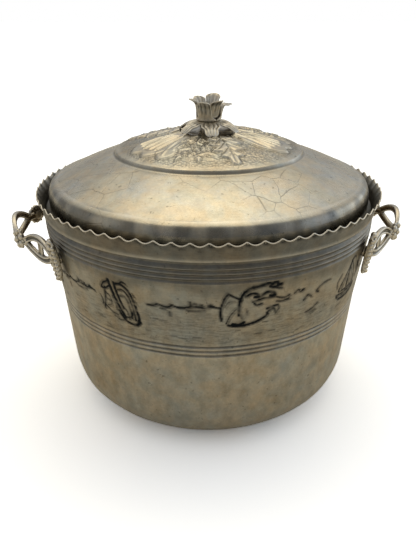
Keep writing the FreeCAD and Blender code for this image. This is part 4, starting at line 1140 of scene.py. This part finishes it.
def foot(parts, side):
    """Riveted foot: a pointed plate with a spine, a bead moulding down both edges and a scroll on top."""
    lean = math.atan((WALL_TOP_R - BAND_FOOT_R) / (NECK_Z - BAND_FOOT_Z))
    turn = side * HANDLE_ANGLE
    out = np.array([math.cos(turn), math.sin(turn), 0.0])
    up_z = np.array([0.0, 0.0, 1.0])
    away, up = out * math.cos(lean) - up_z * math.sin(lean), out * math.sin(lean) + up_z * math.cos(lean)
    along = np.array([-math.sin(turn), math.cos(turn), 0.0])
    base = out * WALL_R + up_z * HANDLE_Z
    frame = np.array([along, up, away])

    def at(u, v, w):
        return base + along * u + up * v + away * w

    half = [(0, 13.0), (2.6, 12.4), (4.4, 10.4), (5.3, 7.4), (5.5, 0), (5.3, -4), (4.5, -9),
            (2.6, -13.6), (0, -15.5)]
    edge = np.array([*half, *[(-u, v) for u, v in half[-2:0:-1]]])[::-1]
    parts.sweep([[at(u * k, v * k, w) for u, v in edge]
                 for k, w in ((0.90, 2.0), (1.0, 2.5), (1.0, 3.9), (0.88, 4.6))])
    for u in (-4.3, 4.3):
        for k in range(8):
            v = 9.2 - 2.85 * k
            pull = 1.0 - 0.035 * max(0.0, -v - 3.0) ** 1.25
            parts.blob(at(u * pull, v, 4.3), frame, (1.45, 1.45, 1.5), 12, 8)
    parts.blob(at(0, -1, 4.3), frame, (1.7, 10.5, 1.35))
    for v, r in ((8.6, 2.3), (-12.6, 1.7), (2.5, 2.1), (-3.6, 1.9)):
        parts.blob(at(0, v, 4.6), frame, (r, r, 1.6))
    parts.blob(at(0, 12.2, 3.6), frame, (3.0, 1.8, 1.9))
    ring = around(24)
    parts.sweep([[at(3.6 * math.cos(a), 3.6 * math.sin(a), w) for a in ring] for w in (0.12, 2.4)])


def handle_pieces():
    parts = Parts()
    for middle, long, tall in EYES:
        radius = (long ** 2 + tall ** 2) / (2 * tall)
        y = long * np.sin(np.linspace(-math.pi / 2, math.pi / 2, 25))
        arch = np.sqrt(radius ** 2 - y ** 2) - (radius - tall)
        for sign in (-1, 1):
            strand(parts, [(middle + a, sign * b) for a, b in zip(y, arch)])
    for side in (-1, 1):
        for shift in (-1.45, 0.0, 1.45):
            y = side * 42.4 + shift
            strand(parts, [(y + 0.001 * k, z) for k, z in enumerate(np.linspace(-6.2, 6.2, 5))],
                   [(math.cos(a), math.sin(a)) for a in -around(10)], 0.95)
        strand(parts, [(side * (57.0 + 0.001 * k), z) for k, z in enumerate(np.linspace(-5.0, 6.5, 5))],
               [(1.6 * math.cos(a), 1.3 * math.sin(a)) for a in -around(10)])
        strand(parts, [(side * y, 0.0) for y in np.linspace(14.0, 30.0, 9)])
        at, away = bow_at(side * FLOWER_Y)
        along = np.cross((0, 0, 1), away)
        frame = np.array([along, (0, 0, 1), away])
        parts.blob(at + away * 0.4, frame, (5.4, 5.8, 1.9))
        for k in range(6):
            turn = math.radians(60 * k + 30)
            spot = along * math.cos(turn) + np.array((0, 0, 1)) * math.sin(turn)
            parts.blob(at + spot * 4.5 + away * 1.4, frame, (2.55, 2.55, 1.7))
            parts.blob(at + spot * 4.9 + away * 2.6, frame, (1.0, 1.0, 0.8), 10, 6)
            turn += math.radians(30)
            spot = along * math.cos(turn) + np.array((0, 0, 1)) * math.sin(turn)
            parts.blob(at + spot * 6.1 + away * 0.9, frame, (1.15, 1.15, 1.2), 10, 6)
        parts.blob(at + away * 2.3, frame, (2.0, 2.0, 1.6))
        parts.blob(at - away * 1.2, frame, (3.4, 3.4, 0.9))
        foot(parts, side)
    right = settle(parts.piece("cast_right_handle", HANDLE_METAL),
                   ("REMESH", {"mode": "VOXEL", "voxel_size": 0.00038}),
                   ("SMOOTH", {"factor": 0.5, "iterations": 3}))
    age_and_painted_light(right, 7, 0.065, sheltered)
    left = bpy.data.objects.new("cast_left_handle", right.data.copy())
    left.data.transform(Matrix.Rotation(math.pi, 4, "Z"))
    bpy.context.scene.collection.objects.link(left)
    for piece, cad in ((right, "right_handle"), (left, "left_handle")):
        piece.data.materials.clear()
        piece.data.materials.append(HANDLE_METAL)
        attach(piece, "bowl")
        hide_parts(cad)


def sheltered(at, normals):
    """1 where a handle faces the wall, 0 where it faces out."""
    out = at[:, :2] / np.linalg.norm(at[:, :2], axis=1)[:, None]
    return 1 - smooth(-0.70, -0.05, (normals[:, :2] * out).sum(1))


# ---------------------------------------------------------------- finial
STEM_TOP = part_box("finial_stem")[1].z / MM
OUTER_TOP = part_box("finial_outer_petals")[1].z / MM
INNER_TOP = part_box("finial_inner_petals")[1].z / MM
CUP_H = 13.6
# azimuth from the front, curl of the tip, extra height, roundness of the end
OUTER_PETALS = [(-23.0, 0.2, -0.4, 0.35), (97.0, 1.6, -1.2, 0.5), (-143.0, 0.1, 0.3, 0.8)]
INNER_PETALS = [(37.0, 0.7, -0.6, 0.3), (-83.0, 0.6, -0.6, 0.25), (157.0, 0.1, 0.2, 0.9)]


def sheet_of(parts, rows):
    """An open sheet through rows of points, later made solid."""
    rows = np.asarray(rows)
    n, m = rows.shape[:2]
    i, j = np.meshgrid(np.arange(n - 1), np.arange(m - 1), indexing="ij")
    k = (i * m + j).ravel()
    parts.add(rows.reshape(-1, 3), np.stack([k, k + 1, k + m + 1, k + m], -1))


def pressed(parts, name):
    """The sheets as one piece of thin metal with rounded edges."""
    return settle(parts.piece(name, FINIAL_METAL),
                  ("SOLIDIFY", {"thickness": 0.0008, "offset": 0.0}),
                  ("SUBSURF", {"levels": 1, "render_levels": 1}))


def cup(name, cad, petals, top, inset, widths):
    """Three fluted petals on a common disc; widths are half angles from the foot to the tip."""
    base = top - CUP_H
    s = np.array([-0.30, -0.12, -0.03, 0.06, 0.14, 0.24, 0.34, 0.45, 0.56, 0.66, 0.75, 0.83, 0.90, 0.95,
                  0.985, 1.0])
    r = np.interp(s, [-0.30, -0.03, 0.06, 0.14, 0.45, 0.74, 0.92, 1.0],
                  [3.9, 7.6, 8.35, 8.5, 9.0, 10.3, 12.2, 13.6])
    z = np.interp(s, [-0.30, -0.12, -0.03, 0.06, 0.14, 0.45, 0.74, 0.92, 1.0],
                  [0.55, 0.55, 0.6, 1.1, 1.9, 6.1, 10.1, 12.6, 13.55])
    across = np.linspace(-1, 1, 25)
    parts = Parts()
    for azimuth, curl, rise, blunt in petals:
        rows = []
        for k, level in enumerate(s):
            half = np.interp(level, [-0.3, 0.10, 0.22, 0.55, 0.78, 0.92, 1.0], widths)
            ending = 1 - 0.55 * float(smooth(0.97, 1.0, level))
            half = half + 16.0 * blunt * float(smooth(0.72, 0.97, level)) * ending
            turn = np.radians(azimuth + half * across)
            bulge = smooth(0.1, 0.5, level)
            rib = 0.30 * np.cos(across * math.pi * 4.0) * bulge * (1 - 0.3 * np.abs(across))
            dome = -1.1 * across ** 2 * float(smooth(0.3, 0.95, level))
            tip = float(smooth(0.72, 1.0, level))
            radius = r[k] - inset + rib + dome + 1.3 * curl * tip
            height = base + z[k] + rise * float(smooth(0.3, 1.0, level)) - 1.5 * curl * tip ** 2 \
                + 0.5 * blunt * (1 - across ** 2) * tip
            rows.append(np.stack([radius * np.sin(turn), -radius * np.cos(turn),
                                  np.broadcast_to(height, turn.shape)], -1))
        sheet_of(parts, rows)
    piece = pressed(parts, name)
    age_and_painted_light(piece, 4, 0.07, lambda at, normals: 0.5 * (1 - smooth(1.5, 7.0, at[:, 2] - base)))
    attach(piece, "lid")
    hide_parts(cad)


def leaves():
    """Six fluted leaves pressed from one disc: a broad shoulder, then a narrower round lobe that dips."""
    along = np.array([0.0, 0.12, 0.24, 0.36, 0.46, 0.54, 0.60, 0.66, 0.72, 0.79, 0.86, 0.92, 0.965, 1.0])
    r = np.interp(along, [0, 0.36, 0.60, 0.79, 0.92, 1.0], [5.3, 10.0, 14.0, 17.2, 19.6, 20.7])
    drop = np.interp(r, [5.3, 7.6, 12.6, 16.8, 19.5, 21.0], [0.1, 0.25, 1.1, 3.0, 5.1, 6.5])
    half = np.interp(along, [0, 0.12, 0.36, 0.54, 0.60, 0.66, 0.72, 0.86, 0.92, 0.965, 1.0],
                     [2.7, 3.9, 5.9, 6.3, 5.9, 4.6, 4.3, 4.3, 3.7, 2.7, 0.9])
    across = np.linspace(-1, 1, 25)
    parts = Parts()
    top = STEM_TOP + 0.85
    for k in range(6):
        turn = math.radians(-57 + 60 * k)
        out = np.array([math.sin(turn), -math.cos(turn), 0])
        side = np.array([math.cos(turn), math.sin(turn), 0])
        lift = (0.3, 0.0, 0.4, -0.2, 0.3, 0.1)[k]
        rows = []
        for a, radius, fall, wide in zip(along, r, drop, half):
            flute = 0.32 * np.cos(across * math.pi * 4.5) * float(smooth(0.1, 0.4, a))
            flute = flute * (1 - 0.4 * float(smooth(0.9, 1, a)))
            edge = -0.9 * across ** 2 * float(smooth(0.2, 0.6, a))
            z = top - fall + flute + edge + lift * a ** 2 - 0.45
            rows.append(out * radius + side * (wide * across)[:, None] + np.array([0, 0, 1]) * z[:, None])
        sheet_of(parts, rows)
    ring = around(48)
    sheet_of(parts, [[(radius * math.sin(a), -radius * math.cos(a), top - 0.55) for a in [*ring, 0.0]]
                     for radius in (2.3, 4.2, 6.4)])
    piece = pressed(parts, "pressed_leaves")
    age_and_painted_light(piece, 4, 0.07, lambda at, normals: 1 - smooth(-0.6, 0.1, normals[:, 2]))
    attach(piece, "lid")
    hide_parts("finial_leaves")


bowl_piece()
lid_piece()
handle_pieces()
leaves()
cup("fluted_outer_petals", "finial_outer_petals", OUTER_PETALS, OUTER_TOP, 0.45, [60, 60, 35, 32, 27, 17, 4])
cup("fluted_inner_petals", "finial_inner_petals", INNER_PETALS, INNER_TOP, 1.5, [60, 60, 42, 36, 31, 20, 4])


# ---------------------------------------------------------------- camera, floor, light
CAMERA_AT = (-20.1, -351.0, 249.2)
CAMERA_HEADING = (0.0558, 0.9984)
CAMERA_DOWN = math.radians(26.56)
LENS = 33.73
FLOOR_HALF = 30000.0
FLOOR_SEEN = (2.30, 2.36, 2.50)
FLOOR_BOUNCE = (0.92, 0.87, 0.75)
ROOM = [(0.0, 0.30), (0.50, 0.34), (0.68, 0.42), (1.0, (0.50, 0.49, 0.46))]
ROOM_DEPTH = [(0.0, 0.60), (0.5, 0.85), (1.0, 1.0)]
GLOWS = [((-0.24, 0.41, 0.88), 16.0, (0.92, 0.80, 0.56)), ((0.24, 0.41, 0.88), 16.0, (0.92, 0.80, 0.56)),
         ((0.84, 0.50, 0.20), 20.0, (0.80, 0.86, 0.90)), ((0.95, 0.00, 0.12), 8.0, (0.42, 0.48, 0.54)),
         ((-0.90, -0.10, 0.25), 8.0, (0.26, 0.25, 0.23))]


def aim(obj, place, forward):
    obj.location = Vector(place) * MM
    obj.rotation_mode = "QUATERNION"
    obj.rotation_quaternion = Vector(forward).to_track_quat("-Z", "Y")


def make_camera():
    data = bpy.data.cameras.new("camera")
    data.sensor_width = 36.0
    data.lens = LENS
    data.clip_start, data.clip_end = 0.01, 50.0
    camera = bpy.data.objects.new("camera", data)
    bpy.context.scene.collection.objects.link(camera)
    level = math.cos(CAMERA_DOWN)
    aim(camera, CAMERA_AT, (CAMERA_HEADING[0] * level, CAMERA_HEADING[1] * level, -math.sin(CAMERA_DOWN)))
    bpy.context.scene.camera = camera


def make_floor():
    """Plain pale paper. To the camera it is white; the metal sees a warmer, dimmer table top in it."""
    material = bpy.data.materials.new("floor_paper")
    material.use_nodes = True
    tree = material.node_tree
    tree.nodes.remove(tree.nodes["Principled BSDF"])
    matt = node(tree, "ShaderNodeBsdfDiffuse")
    seen = node(tree, "ShaderNodeLightPath").outputs["Is Camera Ray"]
    tree.links.new(blend_in(tree, FLOOR_BOUNCE, FLOOR_SEEN, seen), matt.inputs["Color"])
    tree.links.new(matt.outputs[0], tree.nodes["Material Output"].inputs["Surface"])
    corners = [(x * FLOOR_HALF, y * FLOOR_HALF, 0) for x, y in ((-1, -1), (1, -1), (1, 1), (-1, 1))]
    floor = build("floor", corners, [np.array([[0, 1, 2, 3]])], material)
    floor.location.z = -0.00002


def make_world():
    """Soft studio: a dim room, a wide warm glow high behind the bowl and weaker ones at the sides."""
    world = bpy.data.worlds.new("studio")
    bpy.context.scene.world = world
    world.use_nodes = True
    tree = world.node_tree
    background = tree.nodes["Background"]
    way = node(tree, "ShaderNodeTexCoord").outputs["Generated"]

    def toward(direction):
        made = node(tree, "ShaderNodeVectorMath", operation="DOT_PRODUCT")
        tree.links.new(way, made.inputs[0])
        made.inputs[1].default_value = Vector(direction).normalized()
        return made.outputs["Value"]

    def halved(socket):
        return sums(tree, "ADD", sums(tree, "MULTIPLY", socket, 0.5), 0.5)

    colour = ramp(tree, halved(toward((0, 0, 1))), ROOM)
    colour = blend_in(tree, colour, ramp(tree, halved(toward((0, 1, 0))), ROOM_DEPTH), 1.0, "MULTIPLY")
    for direction, tightness, glow in GLOWS:
        lobe = sums(tree, "POWER", sums(tree, "MAXIMUM", toward(direction), 0.0), tightness)
        colour = blend_in(tree, colour, blend_in(tree, (0.0, 0.0, 0.0), glow, lobe), 1.0, "ADD")
    seen = node(tree, "ShaderNodeLightPath").outputs["Is Camera Ray"]
    colour = blend_in(tree, colour, (1.0, 1.0, 1.0), seen)
    tree.links.new(colour, background.inputs["Color"])
    background.inputs["Strength"].default_value = 1.0


make_camera()
make_floor()
make_world()

bpy.context.scene.view_settings.view_transform = "Standard"

kept = {"finial_stem": RIVET_METAL, "finial_screw": SCREW_METAL, "finial_washer": SCREW_METAL,
        "finial_nut": SCREW_METAL}
kept.update({"%s_%s_rivet" % (side, end): RIVET_METAL
             for side in ("left", "right") for end in ("front", "back")})
for name, material in kept.items():
    for slot in frame["nodes"][name].material_slots:
        slot.material = material
